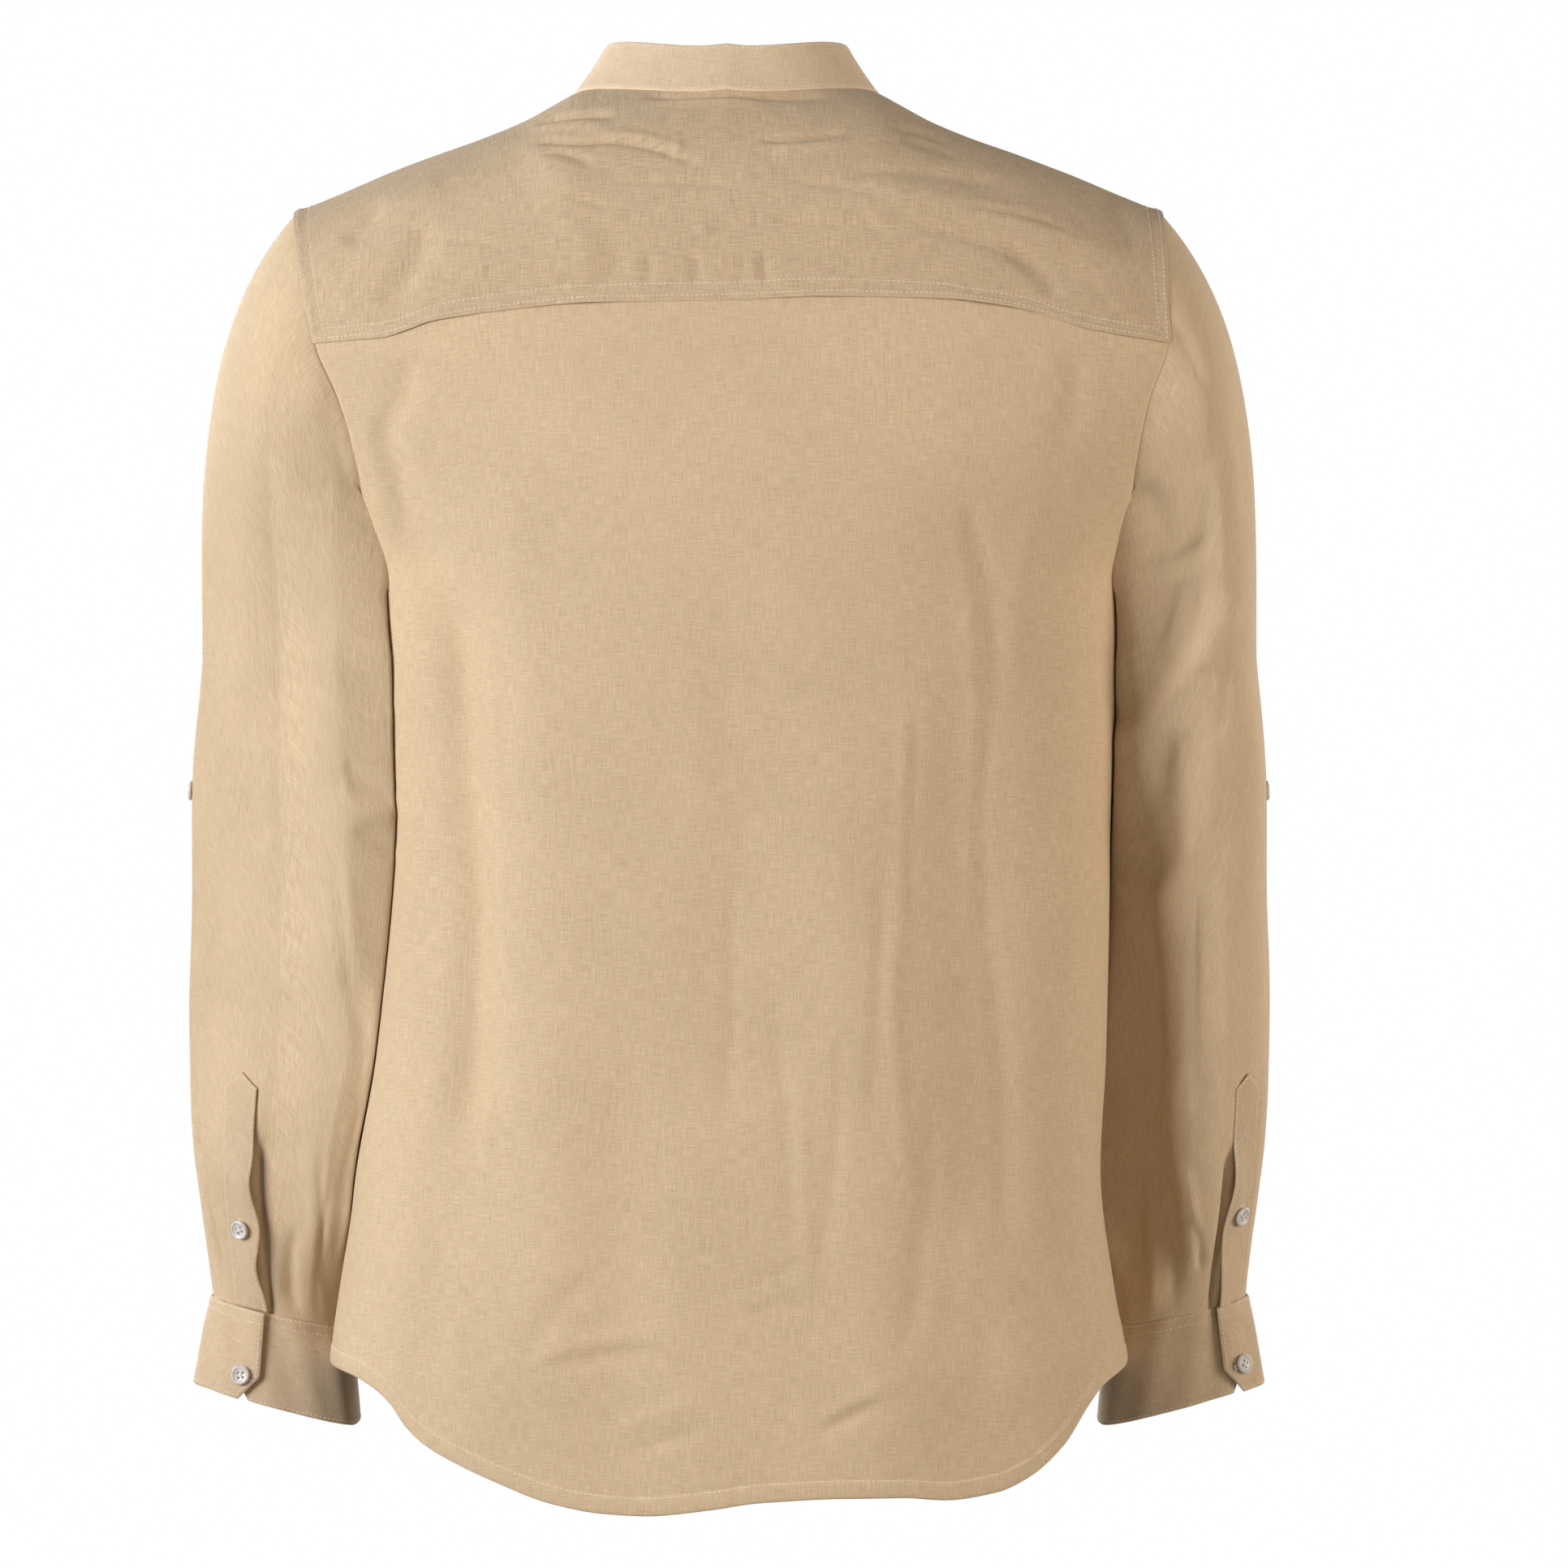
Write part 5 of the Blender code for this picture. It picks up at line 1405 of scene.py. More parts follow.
# %% Creases of the sleeves
SLEEVE_CREASES = {
    RIGHT: table(
        "a0 b0 a1 b1 bow half_width depth",
        (95, -134, 91, -166, 2, 8, -3.2),
        (54, -214, 66, -256, 3, 8, -3.4),
        (40, -208, 54, -252, 3, 7, 2.0),
        (50, -260, 96, -247, -3, 3.5, -2.8),
        (56, -268, 100, -256, -3, 6, 1.8),
        (30, -262, 40, -344, 4, 8, -1.6),
        (95, -206, 101, -300, 5, 10, 3.4),
        (101, -290, 70, -330, 4, 8, 4.0),
        (76, -322, 34, -360, 3, 8, 4.4),
        (34, -352, 36, -426, -7, 7, 3.6),
        (34, -420, 58, -436, -3, 5, 2.6),
        (74, -346, 67, -436, 3, 12, -10.0),
        (98, -346, 88, -424, 4, 8, 2.6),
        (90, -316, 104, -325, 2, 4, -1.9),
        (74, -268, 62, -306, 3, 4, -1.4),
        (86, -270, 78, -308, 3, 4, 1.2),
        (112, -300, 108, -352, 3, 6, -1.4),
        (66, -430, 68, -650, 3, 15, -5.0),
        (106, -400, 108, -640, 2, 11, 3.0),
        (62, -436, 67, -575, 4, 4.5, -2.0),
        (70, -440, 76, -520, -3, 3, 1.4),
        (79, -446, 78, -548, 3, 4, -1.7),
        (92, -428, 95, -574, 3, 5, -1.9),
        (86, -470, 89, -560, -2, 3.5, 1.3),
        (50, -450, 47, -600, 3, 5, -1.8),
        (40, -470, 38, -640, 2, 6, 1.4),
        (103, -440, 107, -530, 2, 5, 1.2),
        (84, -574, 99, -642, 2, 3.5, 2.6),
        (93, -612, 102, -642, 1, 3.2, -3.4),
        (76, -580, 84, -664, 2, 5, -2.2),
        (62, -590, 66, -668, 2, 5, 1.6),
        (52, -600, 52, -668, 2, 5, -1.6),
        (149, -534, 150, -660, -2, 3.2, -4.6),
        (126, -176, 140, -250, 4, 12, -1.4),
        (140, -330, 136, -430, 3, 12, 1.2),
        (206, -200, 226, -300, 5, 10, -2.2),
        (240, -220, 262, -330, 5, 9, -2.4),
        (300, -250, 262, -350, -5, 11, -3.6),
        (320, -230, 300, -300, 4, 10, 2.0),
        (258, -350, 300, -400, 4, 8, 2.4),
        (290, -380, 280, -450, 3, 9, -3.0),
        (250, -400, 244, -500, 3, 7, -1.6),
        (268, -440, 262, -560, 3, 5, 1.3),
        (284, -470, 276, -600, 3, 5, -1.5),
        (234, -520, 230, -640, 3, 6, -1.6),
        (210, -420, 204, -560, 3, 8, -1.2)),
    LEFT: table(
        "a0 b0 a1 b1 bow half_width depth",
        (84, -156, 50, -224, 4, 7, 2.4),
        (78, -168, 44, -232, 4, 6, -1.6),
        (84, -216, 64, -224, 2, 5, -1.2),
        (60, -300, 44, -340, 3, 7, -1.4),
        (62, -362, 42, -388, 3, 3.8, -1.9),
        (66, -374, 44, -396, 3, 5, 1.4),
        (56, -398, 42, -416, 2, 3.6, -1.5),
        (111, -378, 99, -408, 2, 7, -1.4),
        (102, -372, 92, -410, 2, 6, 0.9),
        (73, -412, 48, -532, 4, 4, -1.3),
        (64, -420, 42, -520, 3, 4, 0.8),
        (40, -430, 30, -540, 3, 3.5, -1.0),
        (54, -470, 46, -570, 2, 3, -0.8),
        (30, -440, 26, -600, 2, 5, -1.2),
        (44, -540, 40, -640, 3, 3.5, -1.0),
        (60, -520, 56, -620, 2, 4, 0.7),
        (34, -570, 30, -664, 2, 4, 0.8),
        (83, -618, 72, -668, 2, 5, -2.4),
        (94, -600, 90, -660, 2, 5, 1.0),
        (78, -560, 50, -660, 4, 6, 0.9),
        (68, -574, 40, -664, 4, 5, -1.1),
        (56, -590, 54, -668, 2, 4, -1.0),
        (162, -530, 141, -660, -2, 3.2, -4.6),
        (150, -240, 140, -340, 3, 14, -1.2),
        (120, -250, 112, -330, 3, 12, 0.8),
        (128, -420, 134, -520, 3, 10, -0.9),
        (206, -200, 226, -300, 5, 10, -2.2),
        (240, -230, 258, -340, 5, 9, -2.2),
        (296, -240, 262, -360, -5, 11, -3.4),
        (318, -230, 304, -300, 4, 10, 2.0),
        (256, -362, 296, -410, 4, 8, 2.2),
        (286, -390, 280, -460, 3, 9, -2.6),
        (250, -420, 244, -520, 3, 7, -1.6),
        (270, -450, 262, -570, 3, 5, 1.2),
        (234, -520, 230, -640, 3, 6, -1.6),
        (208, -430, 204, -560, 3, 8, -1.2))}
SLEEVE_FOLD_FADE, SLEEVE_FOLD_REACH = 0.35, 1.3
SLEEVE_FOLDS = table(
    "side angle_top z_top angle_bottom z_bottom half_angle depth",
    (RIGHT, 100, -180, 70, -330, 20, -5.0),
    (RIGHT, 125, -270, 60, -360, 16, 4.5),
    (RIGHT, 105, -400, 85, -520, 18, -4.0),
    (RIGHT, 300, -240, 250, -380, 22, -4.0),
    (LEFT, 70, -180, 90, -330, 22, -3.5),
    (LEFT, 60, -380, 70, -470, 18, 3.5),
    (LEFT, 90, -560, 84, -650, 14, -3.0),
    (LEFT, 290, -250, 240, -390, 22, -4.0))


def sleeve_fold_depth(side, angle, height):
    """The largest folds of a sleeve, shared with the CAD solids."""
    depth = np.zeros_like(angle)
    for fold in rows_of(SLEEVE_FOLDS):
        if fold["side"] != side:
            continue
        along = (height - fold["z_top"]) / (fold["z_bottom"] - fold["z_top"])
        middle = blend(fold["angle_top"], fold["angle_bottom"], np.clip(along, 0, 1))
        off = (angle - middle + 180) % 360 - 180
        start = ease(along / SLEEVE_FOLD_FADE + 0.35)
        end = ease((SLEEVE_FOLD_REACH - along) / SLEEVE_FOLD_FADE)
        depth += fold["depth"] * start * end * np.exp(-(off / fold["half_angle"]) ** 2)
    return depth


print("sleeve creases:", {side: len(t["a0"]) for side, t in SLEEVE_CREASES.items()})

# %% [markdown]
# The sleeve's slit opens beside the placket. The tube is not cut for it: the cloth under
# the placket's free edge sinks into a narrow groove that reads as the dark slit. Creases
# on the side of the body only go inwards, because there the sleeve has no room.

# %% Make the sleeves
PLACKET_WIDTH = 19.0
SLIT_DEPTH, SLIT_WIDTH, SLIT_TOP_Z = 4.6, 2.5, -566.0
SEAM_SINK = 0.25                # the sleeve's head is tucked under the armhole's edge
HUG_ANGLE, HUG_END_Z = 60.0, -640.0     # up to here it lies against the body under the arm


def slit_angle(side, height):
    """Where the placket's free edge lies, in degrees round the sleeve."""
    radius = (sleeve("half_depth", height) + HALF_SLEEVE) / 2
    return PLACKET_ANGLE[side] - np.degrees(PLACKET_WIDTH / 2 / radius)


def sleeve_relief(side, angle, height):
    """How far folds, creases and the slit move the sleeve's cloth."""
    counted = np.where(angle > 345, angle - 360, angle)
    depth = sleeve_fold_depth(side, angle, height)
    depth += crease_depth(SLEEVE_CREASES[side] | {
        "a0": SLEEVE_CREASES[side]["a0"] * DEGREE,
        "a1": SLEEVE_CREASES[side]["a1"] * DEGREE}, counted * DEGREE, height)
    depth += slow_waves(counted * DEGREE + 60 * side, height * 0.9, 0.3)
    aside = (angle - slit_angle(side, height) + 3.5) * DEGREE
    open_part = ease((SLIT_TOP_Z - height) / 22)
    depth -= SLIT_DEPTH * open_part * np.exp(-(aside / SLIT_WIDTH) ** 2)
    return np.where(angle > 300, np.minimum(depth, 0), depth)


def sleeve_grid(side, columns=150, head_lines=52, low_step=2.6):
    ring = np.linspace(0, 360, columns, endpoint=False)
    rows = [sleeve_head(side, ring, share) for share in np.linspace(0, 1, head_lines + 1)]
    for height in np.arange(SLEEVE_TOP_Z - low_step, SLEEVE_END_Z - 0.1, -low_step):
        rows.append(sleeve_section(side, ring, float(height) + 0 * ring))
    rows.append(sleeve_section(side, ring, SLEEVE_END_Z - 0.6 + 0 * ring))
    points = np.array(rows)
    angles = np.broadcast_to(ring, points.shape[:2])
    facing = outward(points, points.mean(axis=1, keepdims=True), closed=True)
    down = travel(points, 0)
    calm = ease(down / 12) * (0.35 + 0.65 * ease((down[-1:] - down) / 10))
    depth = sleeve_relief(side, angles, points[..., 2]) * calm
    depth -= SEAM_SINK * (1 - ease(down / 4))
    points = points + facing * depth[..., None]
    x, y, z = np.moveaxis(points, -1, 0)
    touch = TOUCH * ease((ARMPIT_Z - z) / 8) * (1 + 0.3 * ease((z + 330) / 40))
    reach = body_side(side, y, z) + touch
    hug = ease((HUG_ANGLE - angles) / 18) * ease(angles / 12)
    hug *= ease(down / 12) * ease((z - HUG_END_Z) / 130)
    x = blend(x, side * reach, hug)
    beside = (z < ARMPIT_Z) & (np.cos(np.radians(angles)) > 0)
    points[..., 0] = np.where(beside, side * np.maximum(side * x, reach), x)
    return points


sleeves = {}
for side, word in BOTH_SIDES:
    points = sleeve_grid(side)
    tube = Panel(points, points.mean(axis=1, keepdims=True), closed=True)
    sleeves[side] = tube
    sew_in(tube, f"sleeve_tube_{word}", f"sleeve_{word}", sand_cloth, sewn=("top", "bottom"))

# %% [markdown]
# ### Plackets
# The slit of each sleeve is finished with a pointed strip, stitched down along its outer
# side and in a box above the slit. Its other edge is free, and it waves as it stands off
# the sleeve. The strip is laid on the sleeve's own formulas and then lifted.

# %% Make the plackets
PLACKET_TOP_Z = -534.0
PLACKET_SHOULDER = 9.0          # the point is this high
BOX_END_Z = -565.0
PLACKET_LIFT = 2.6
PLACKET_SEAT = {LEFT: 1.15, RIGHT: 1.7}   # how far off the sleeve's middle it is stitched
FREE_EDGE_WAVE = {LEFT: (-569, 48), RIGHT: (-624, 89)}   # a wide place, and their distance


def placket_grid(side, columns=25, lines=74):
    across = np.linspace(-1, 1, columns)       # -1 is the free edge
    rows = []
    for share in np.linspace(0, 1, lines):
        peak = PLACKET_TOP_Z - PLACKET_SHOULDER * np.abs(across)
        height = blend(peak, SLEEVE_END_Z + 0.4, share)
        radius = (sleeve("half_depth", height) + HALF_SLEEVE) / 2
        angle = PLACKET_ANGLE[side] + across * np.degrees(PLACKET_WIDTH / 2 / radius)
        rows.append(sleeve_section(side, angle, height))
    points = np.array(rows)
    height = points[..., 2]
    wide = across[None] + 0 * height
    loose = ease((BOX_END_Z - height) / 30) * (0.55 + 0.45 * ease((height + 676) / 40))
    wave = 1 + 0.25 * np.sin(height / 9.5 + side) + 0.12 * np.sin(height / 5.1)
    lift = PLACKET_LIFT * loose * wave * ease((0.75 - wide) / 1.75)
    behind = points.mean(axis=(0, 1)) - placket_out(side) * 40
    facing = outward(points, behind)
    sag = sleeve_fold_depth(side, PLACKET_ANGLE[side] + 0 * height, height)
    points = points + facing * (lift + PLACKET_SEAT[side] + np.maximum(sag, 0.0))[..., None]
    start, period = FREE_EDGE_WAVE[side]
    shift = 1.9 * np.cos(2 * np.pi * (height - start) / period) * loose
    shift *= ease((0.4 - wide) / 1.4)
    return points - np.array([side, 0, 0]) * shift[..., None], behind


def placket_out(side):
    angle = math.radians(PLACKET_ANGLE[side])
    return np.array([-side * math.cos(angle), -math.sin(angle), 0.0])


plackets = {}
for side, word in BOTH_SIDES:
    points, behind = placket_grid(side)
    strip = Panel(points, behind, thickness=1.0, turned=("top", "left", "right"))
    plackets[side] = strip
    sew_in(strip, f"placket_strip_{word}", f"sleeve_placket_{word}", stiff_cloth_painted_shade,
           sewn=ALL_ROUND)

# %% [markdown]
# ### Cuffs
# A cuff is a stiff strip round the wrist, folded along its lower edge. Its outer end lies
# over its inner end with a gap between them, and both lower corners are cut off.

# %% Make the cuffs
CUFF_CLOTH = 1.5
CUFF_CENTRE_Y = 50.0
CUFF_HALF_DEPTH = 35.0
CUFF_HEIGHT = 50.0
CUFF_OVER_ANGLE = 12.0
CUFF_LAP_ANGLE = 24.0
CUFF_CHAMFER = 15.0
CUFF_CHAMFER_START = 0.7
CUFF_TOP_OUTER = 284.0
CUFF_TOP_INNER = 208.5
CUFF_SPREAD = 9.0
CUFF_DROP = 0.07
CUFF_ROUND, CUFF_FLAT = 0.93, 0.52      # 1 is a round cuff, less is flatter front and back


def cuff_grid(side, columns=161, lines=27):
    over_end = PLACKET_ANGLE[side] - CUFF_OVER_ANGLE
    under_end = over_end + 360.0 + CUFF_LAP_ANGLE
    tilt = float(sleeve("tilt", np.array(SLEEVE_END_Z)))
    rows = []
    for share in np.linspace(0, 1, lines):
        flat = blend(CUFF_ROUND, CUFF_FLAT, ease(share / 0.35))
        cut = CUFF_CHAMFER * max(0.0, share - CUFF_CHAMFER_START) / (1 - CUFF_CHAMFER_START)
        angle = np.linspace(over_end + cut, under_end - cut, columns)
        turn = np.radians(angle)
        spiral = 2.3 * (0.5 - (angle - over_end) / (under_end - over_end))
        spiral = spiral + 1.7 * ease(1 - (angle - over_end) / 34) * (1 - 0.3 * share)
        spiral = spiral - 0.6 * ease(1 - (under_end - angle) / 30)
        outer = CUFF_TOP_OUTER + CUFF_SPREAD * share
        inner = CUFF_TOP_INNER - CUFF_SPREAD / 2 * share
        half_x = (outer - inner) / 2 + spiral
        half_y = CUFF_HALF_DEPTH + CUFF_SPREAD / 2 * share + spiral
        wave = 0.5 * np.sin(turn * 5 + side) * share + 0.35 * np.sin(turn * 11 + 3 * share)
        bulge = squarer(np.sin(turn), flat)
        x = (outer + inner) / 2 - (half_x + wave) * np.cos(turn)
        y = CUFF_CENTRE_Y - (half_y + wave) * bulge
        drop = CUFF_HEIGHT * share * (1.0 + CUFF_DROP * np.cos(turn))
        z = SLEEVE_END_Z + tilt * (1 - np.cos(turn)) - 0.5 - drop
        rows.append(np.stack([side * x, y, z], axis=-1))
    return np.array(rows)


cuffs = {}
for side, word in BOTH_SIDES:
    points = cuff_grid(side)
    strip = Panel(points, points.mean(axis=1, keepdims=True), thickness=CUFF_CLOTH,
                  turned=ALL_ROUND)
    cuffs[side] = strip
    sew_in(strip, f"cuff_strip_{word}", f"cuff_{word}", stiff_cloth_painted_shade,
           sewn=ALL_ROUND)

# %% [markdown]
# ## Topstitching
# Cream thread runs along the hem, the yoke, the band, the collar, the plackets and the
# cuffs. Each stitch is a small spindle that dips into the cloth at both ends, about two
# millimetres long. A dashed line in the material would be cheaper, but real stitches catch
# the light and show from the side. All the stitches of one piece are one mesh, made in one
# go with arrays.

# %% Make rows of stitches
STITCH = 2.6                    # from one stitch to the next
STITCH_SHARE = 0.66             # how much of that the thread lies on top
THREAD = 0.25                   # half of the thread's width
LOOK = 0.3                      # a stitch points from this far behind to this far ahead
STRAY = 0.07                    # how far stitches turn out of line


def even_points(path, out):
    """Places of stitches along a path, with their normals and directions."""
    along = travel(path[:, None], 0)[:, 0]
    count = max(2, int(along[-1] / STITCH))
    at = (np.arange(count) + 0.5) * along[-1] / count
    place = np.stack([np.interp(at, along, path[:, k]) for k in range(3)], axis=-1)
    facing = unit(np.stack([np.interp(at, along, out[:, k]) for k in range(3)], axis=-1))
    ahead = np.stack([np.interp(at + LOOK, along, path[:, k]) for k in range(3)], axis=-1)
    behind = np.stack([np.interp(at - LOOK, along, path[:, k]) for k in range(3)], axis=-1)
    way = ahead - behind
    way = unit(way - facing * np.sum(way * facing, axis=-1, keepdims=True))
    return place, facing, way


SPINDLE = table("along width sink", (-0.40, 0.75, -0.03), (0.0, 1.0, 0.06), (0.40, 0.75, -0.03))
SPINDLE_TIP, TIP_SINK = 0.56, 0.16      # its pointed ends are in the cloth
SIDES = 5


def stitch_mesh(name, lines, material):
    """All the stitches of some lines, as one mesh."""
    parts = [even_points(path, out) for path, out in lines]
    place, facing, way = (np.concatenate([part[k] for part in parts]) for k in range(3))
    aside = np.cross(facing, way)
    turn = STRAY * np.sin(np.arange(len(place)) * 2.4)[:, None]
    way, aside = unit(way + aside * turn), unit(aside - way * turn)
    length = STITCH * STITCH_SHARE
    rings = []
    for ring in rows_of(SPINDLE):
        for k in range(SIDES):
            angle = 2 * math.pi * k / SIDES
            rings.append(place + way * ring["along"] * length
                         + aside * math.cos(angle) * THREAD * ring["width"]
                         + facing * (math.sin(angle) * THREAD * ring["width"] + ring["sink"]))
    tips = [place + way * length * share - facing * TIP_SINK
            for share in (-SPINDLE_TIP, SPINDLE_TIP)]
    vertices = np.stack(rings + tips, axis=1)
    per = vertices.shape[1]
    faces = []
    for k in range(SIDES):
        after = (k + 1) % SIDES
        for ring in range(2):
            low, high = ring * SIDES, (ring + 1) * SIDES
            faces.append((low + k, low + after, high + after, high + k))
        faces.append((per - 2, after, k, k))
        faces.append((per - 1, 2 * SIDES + k, 2 * SIDES + after, 2 * SIDES + after))
    faces = [tuple(dict.fromkeys(face)) for face in faces]
    every = [tuple(corner + per * n for corner in face) for n in range(len(place))
             for face in faces]
    mesh = bpy.data.meshes.new(name)
    mesh.from_pydata((vertices.reshape(-1, 3) * MM).tolist(), [], every)
    mesh.shade_smooth()
    made = new_object(name, mesh, material)
    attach(made, "root")
    print(f"{name}: {len(place)} stitches")


# %% [markdown]
# The thread is spun: two plies wind round each other, which a slanting wave in the bump
# shows; the same wave paints shade into the grooves between the plies. It is smoother than
# the cloth and a little glossy.

# %% The thread's material
def thread_material(name, colour):
    material, tree, shader = new_material(name)
    place = put(tree, "ShaderNodeTexCoord").outputs["Object"]
    twist = put(tree, "ShaderNodeTexWave", {"Vector": place, "Scale": 900.0,
                                            "Distortion": 1.5}, bands_direction="DIAGONAL")
    tone = use(tree, "tone", {"Vector": place, "Patch": 0.02})
    # The grooves between the plies are painted darker: painted shade.
    shade = maths(tree, "MULTIPLY", spread(tree, twist.outputs["Fac"], 0, 1, 0.86, 1.0),
                  spread(tree, tone["Tone"], 0, 1, 0.93, 1.04))
    tree.links.new(mixed(tree, 1.0, (*colour, 1.0), grey(tree, shade), "MULTIPLY"),
                   shader.inputs["Base Color"])
    tree.links.new(bumped(tree, twist.outputs["Fac"], 0.5, 0.0001), shader.inputs["Normal"])
    tree.links.new(spread(tree, twist.outputs["Fac"], 0, 1, 0.62, 0.5),
                   shader.inputs["Roughness"])
    shader.inputs["Specular IOR Level"].default_value = 0.4
    return material


cream_thread = thread_material("cream sewing thread", (0.91, 0.82, 0.69))
print("thread material:", cream_thread.name)

# %% [markdown]
# ### Rows on the body and the collar
# The hem has one row along its fold. The yoke's seam has two, one near the edge and one
# where the seam allowance ends inside, because it carries the shirt's weight. The band has
# a row along each side, and the collar one all round. Distances are counted from the edge,
# along the cloth.

# %% Sew the body and the collar
hemmed_panels = (back, fronts[LEFT], fronts[RIGHT])
stitch_mesh("stitches_hem", [panel.line("bottom", HEM_DEPTH) for panel in hemmed_panels],
            cream_thread)
stitch_mesh("stitches_yoke", [yoke.line("bottom", away) for away in (3.0, 9.4)]
            + [yoke.line(edge, 2.6) for edge in ("left", "right")], cream_thread)
stitch_mesh("stitches_button_band", [band.line(edge, 3.4) for edge in ("left", "right")],
            cream_thread)
stitch_mesh("stitches_collar", [collar.line("top", 2.0), collar.line("bottom", 2.2),
                                collar.line("left", 2.2), collar.line("right", 2.2)],
            cream_thread)

# %% [markdown]
# ### Rows on the plackets and the cuffs
# A placket is sewn down along both sides and its point, and a row across it closes the box
# above the slit. A cuff has two rows where the sleeve goes into it and one on its free edges.

# %% Sew the sleeves and the cuffs
for side, word in BOTH_SIDES:
    strip = plackets[side]
    stitch_mesh(f"stitches_placket_{word}",
                [strip.line(edge, 1.6) for edge in ("left", "right", "top")]
                + [strip.line("top", 33.0)], cream_thread)
    wrap = cuffs[side]
    stitch_mesh(f"stitches_cuff_{word}",
                [wrap.line("top", away) for away in (1.6, 6.4)]
                + [wrap.line(edge, 2.0) for edge in ("bottom", "left", "right")],
                cream_thread)

# %% [markdown]
# ## Buttons
# The buttons are clear resin with four holes, a raised rim and a dished face. One button is
# turned from a profile and drilled with a Boolean modifier. Every other one shares its mesh
# and is only placed. The hard part is the finish: cloudy resin lets a little light in.

# %% The button's mesh and material
BUTTON_RADIUS = 5.3
BUTTON_HEIGHT = 2.4
DISH = 0.62                     # height of the dished face, as a share of that
BUTTON_PROFILE = table(
    "radius height",
    (0.0, 0.0), (0.70, 0.0), (0.90, 0.16), (1.0, 0.42), (1.0, 0.70), (0.94, 0.92),
    (0.85, 1.0), (0.76, 0.93), (0.68, 0.74), (0.58, 0.64), (0.0, DISH))
HOLE_RADIUS = 0.75
HOLE_PLACE = 1.25               # how far each hole is from the middle, both ways


def turned_button():
    mesh = bpy.data.meshes.new("turned button")
    build = bmesh.new()
    profile = [build.verts.new((row["radius"] * BUTTON_RADIUS * MM, 0.0,
                                row["height"] * BUTTON_HEIGHT * MM))
               for row in rows_of(BUTTON_PROFILE)]
    for first, second in zip(profile, profile[1:]):
        build.edges.new((first, second))
    bmesh.ops.spin(build, geom=build.verts[:] + build.edges[:], cent=(0, 0, 0),
                   axis=(0, 0, 1), angle=2 * math.pi, steps=56, use_duplicate=False)
    bmesh.ops.remove_doubles(build, verts=build.verts[:], dist=1e-6)
    bmesh.ops.recalc_face_normals(build, faces=build.faces[:])
    build.to_mesh(mesh)
    build.free()
    return mesh


def drilled(mesh):
    blank = new_object("button blank", mesh)
    drills = bpy.data.meshes.new("drills")
    build = bmesh.new()
    for sx in (-1, 1):
        for sy in (-1, 1):
            made = bmesh.ops.create_cone(build, cap_ends=True, segments=16,
                                         radius1=HOLE_RADIUS * MM, radius2=HOLE_RADIUS * MM,
                                         depth=3 * BUTTON_HEIGHT * MM)
            bmesh.ops.translate(build, verts=made["verts"],
                                vec=(sx * HOLE_PLACE * MM, sy * HOLE_PLACE * MM, 0))
    build.to_mesh(drills)
    build.free()
    tool = new_object("drill", drills)
    cut = blank.modifiers.new("holes", "BOOLEAN")
    cut.object = tool
    cut.operation = "DIFFERENCE"
    cut.solver = "EXACT"
    result = bpy.data.meshes.new_from_object(
        blank.evaluated_get(bpy.context.evaluated_depsgraph_get()))
    result.name = "shirt button"
    bpy.data.objects.remove(blank)
    bpy.data.objects.remove(tool)
    result.shade_smooth()
    result.set_sharp_from_angle(angle=math.radians(38))
    return result


def resin_material():
    material, tree, shader = new_material("clear button resin")
    place = put(tree, "ShaderNodeTexCoord").outputs["Object"]
    cloud = noise(tree, place, 420.0, 3.0, 0.6)
    fine = noise(tree, place, 2600.0, 2.0, 0.5)
    colour = mixed(tree, spread(tree, cloud, 0.35, 0.65), (0.62, 0.585, 0.55, 1.0),
                   (0.75, 0.715, 0.69, 1.0))
    tree.links.new(colour, shader.inputs["Base Color"])
    tree.links.new(spread(tree, cloud, 0.3, 0.7, 0.28, 0.42), shader.inputs["Roughness"])
    tree.links.new(bumped(tree, fine, 0.12, 0.0001), shader.inputs["Normal"])
    shader.inputs["Transmission Weight"].default_value = 0.10
    shader.inputs["IOR"].default_value = 1.5
    shader.inputs["Coat Weight"].default_value = 0.15
    return material


button_mesh = drilled(turned_button())
button_mesh.materials.clear()
button_mesh.materials.append(resin_material())
print("button:", len(button_mesh.polygons), "faces")

# %% [markdown]
# A button that closes something lies over its buttonhole, a slot bound with close stitches.
# Thread that crosses in its four holes holds it. Both are built at the origin and placed at
# the same point of the cloth as the button, so they can't drift apart. The two roll buttons
# have no buttonhole, because their tabs are inside the sleeves.

# %% Buttonholes and shank threads
HOLE_LENGTH = 13.5
HOLE_HALF_WIDTH = 1.35
HOLE_ENDS = 0.1, 1.15           # the bars across an end start and stop past the straight
BAR_STEP, BAR_HALF_WIDTH, BAR_HEIGHT = 0.42, 0.2, 0.34
SLOT_HALF_WIDTH = 0.25
SHANK_SIDES, SHANK_WIDE, SHANK_HIGH = 6, 0.22, 0.2
SHANK_LANES = (-0.25, 0.05, 0.3)    # the thread goes through each hole three times
SHANK_PATH = table("share rise", (0, -0.9), (0.02, 0), (0.5, 0.3), (0.98, 0), (1, -0.9))


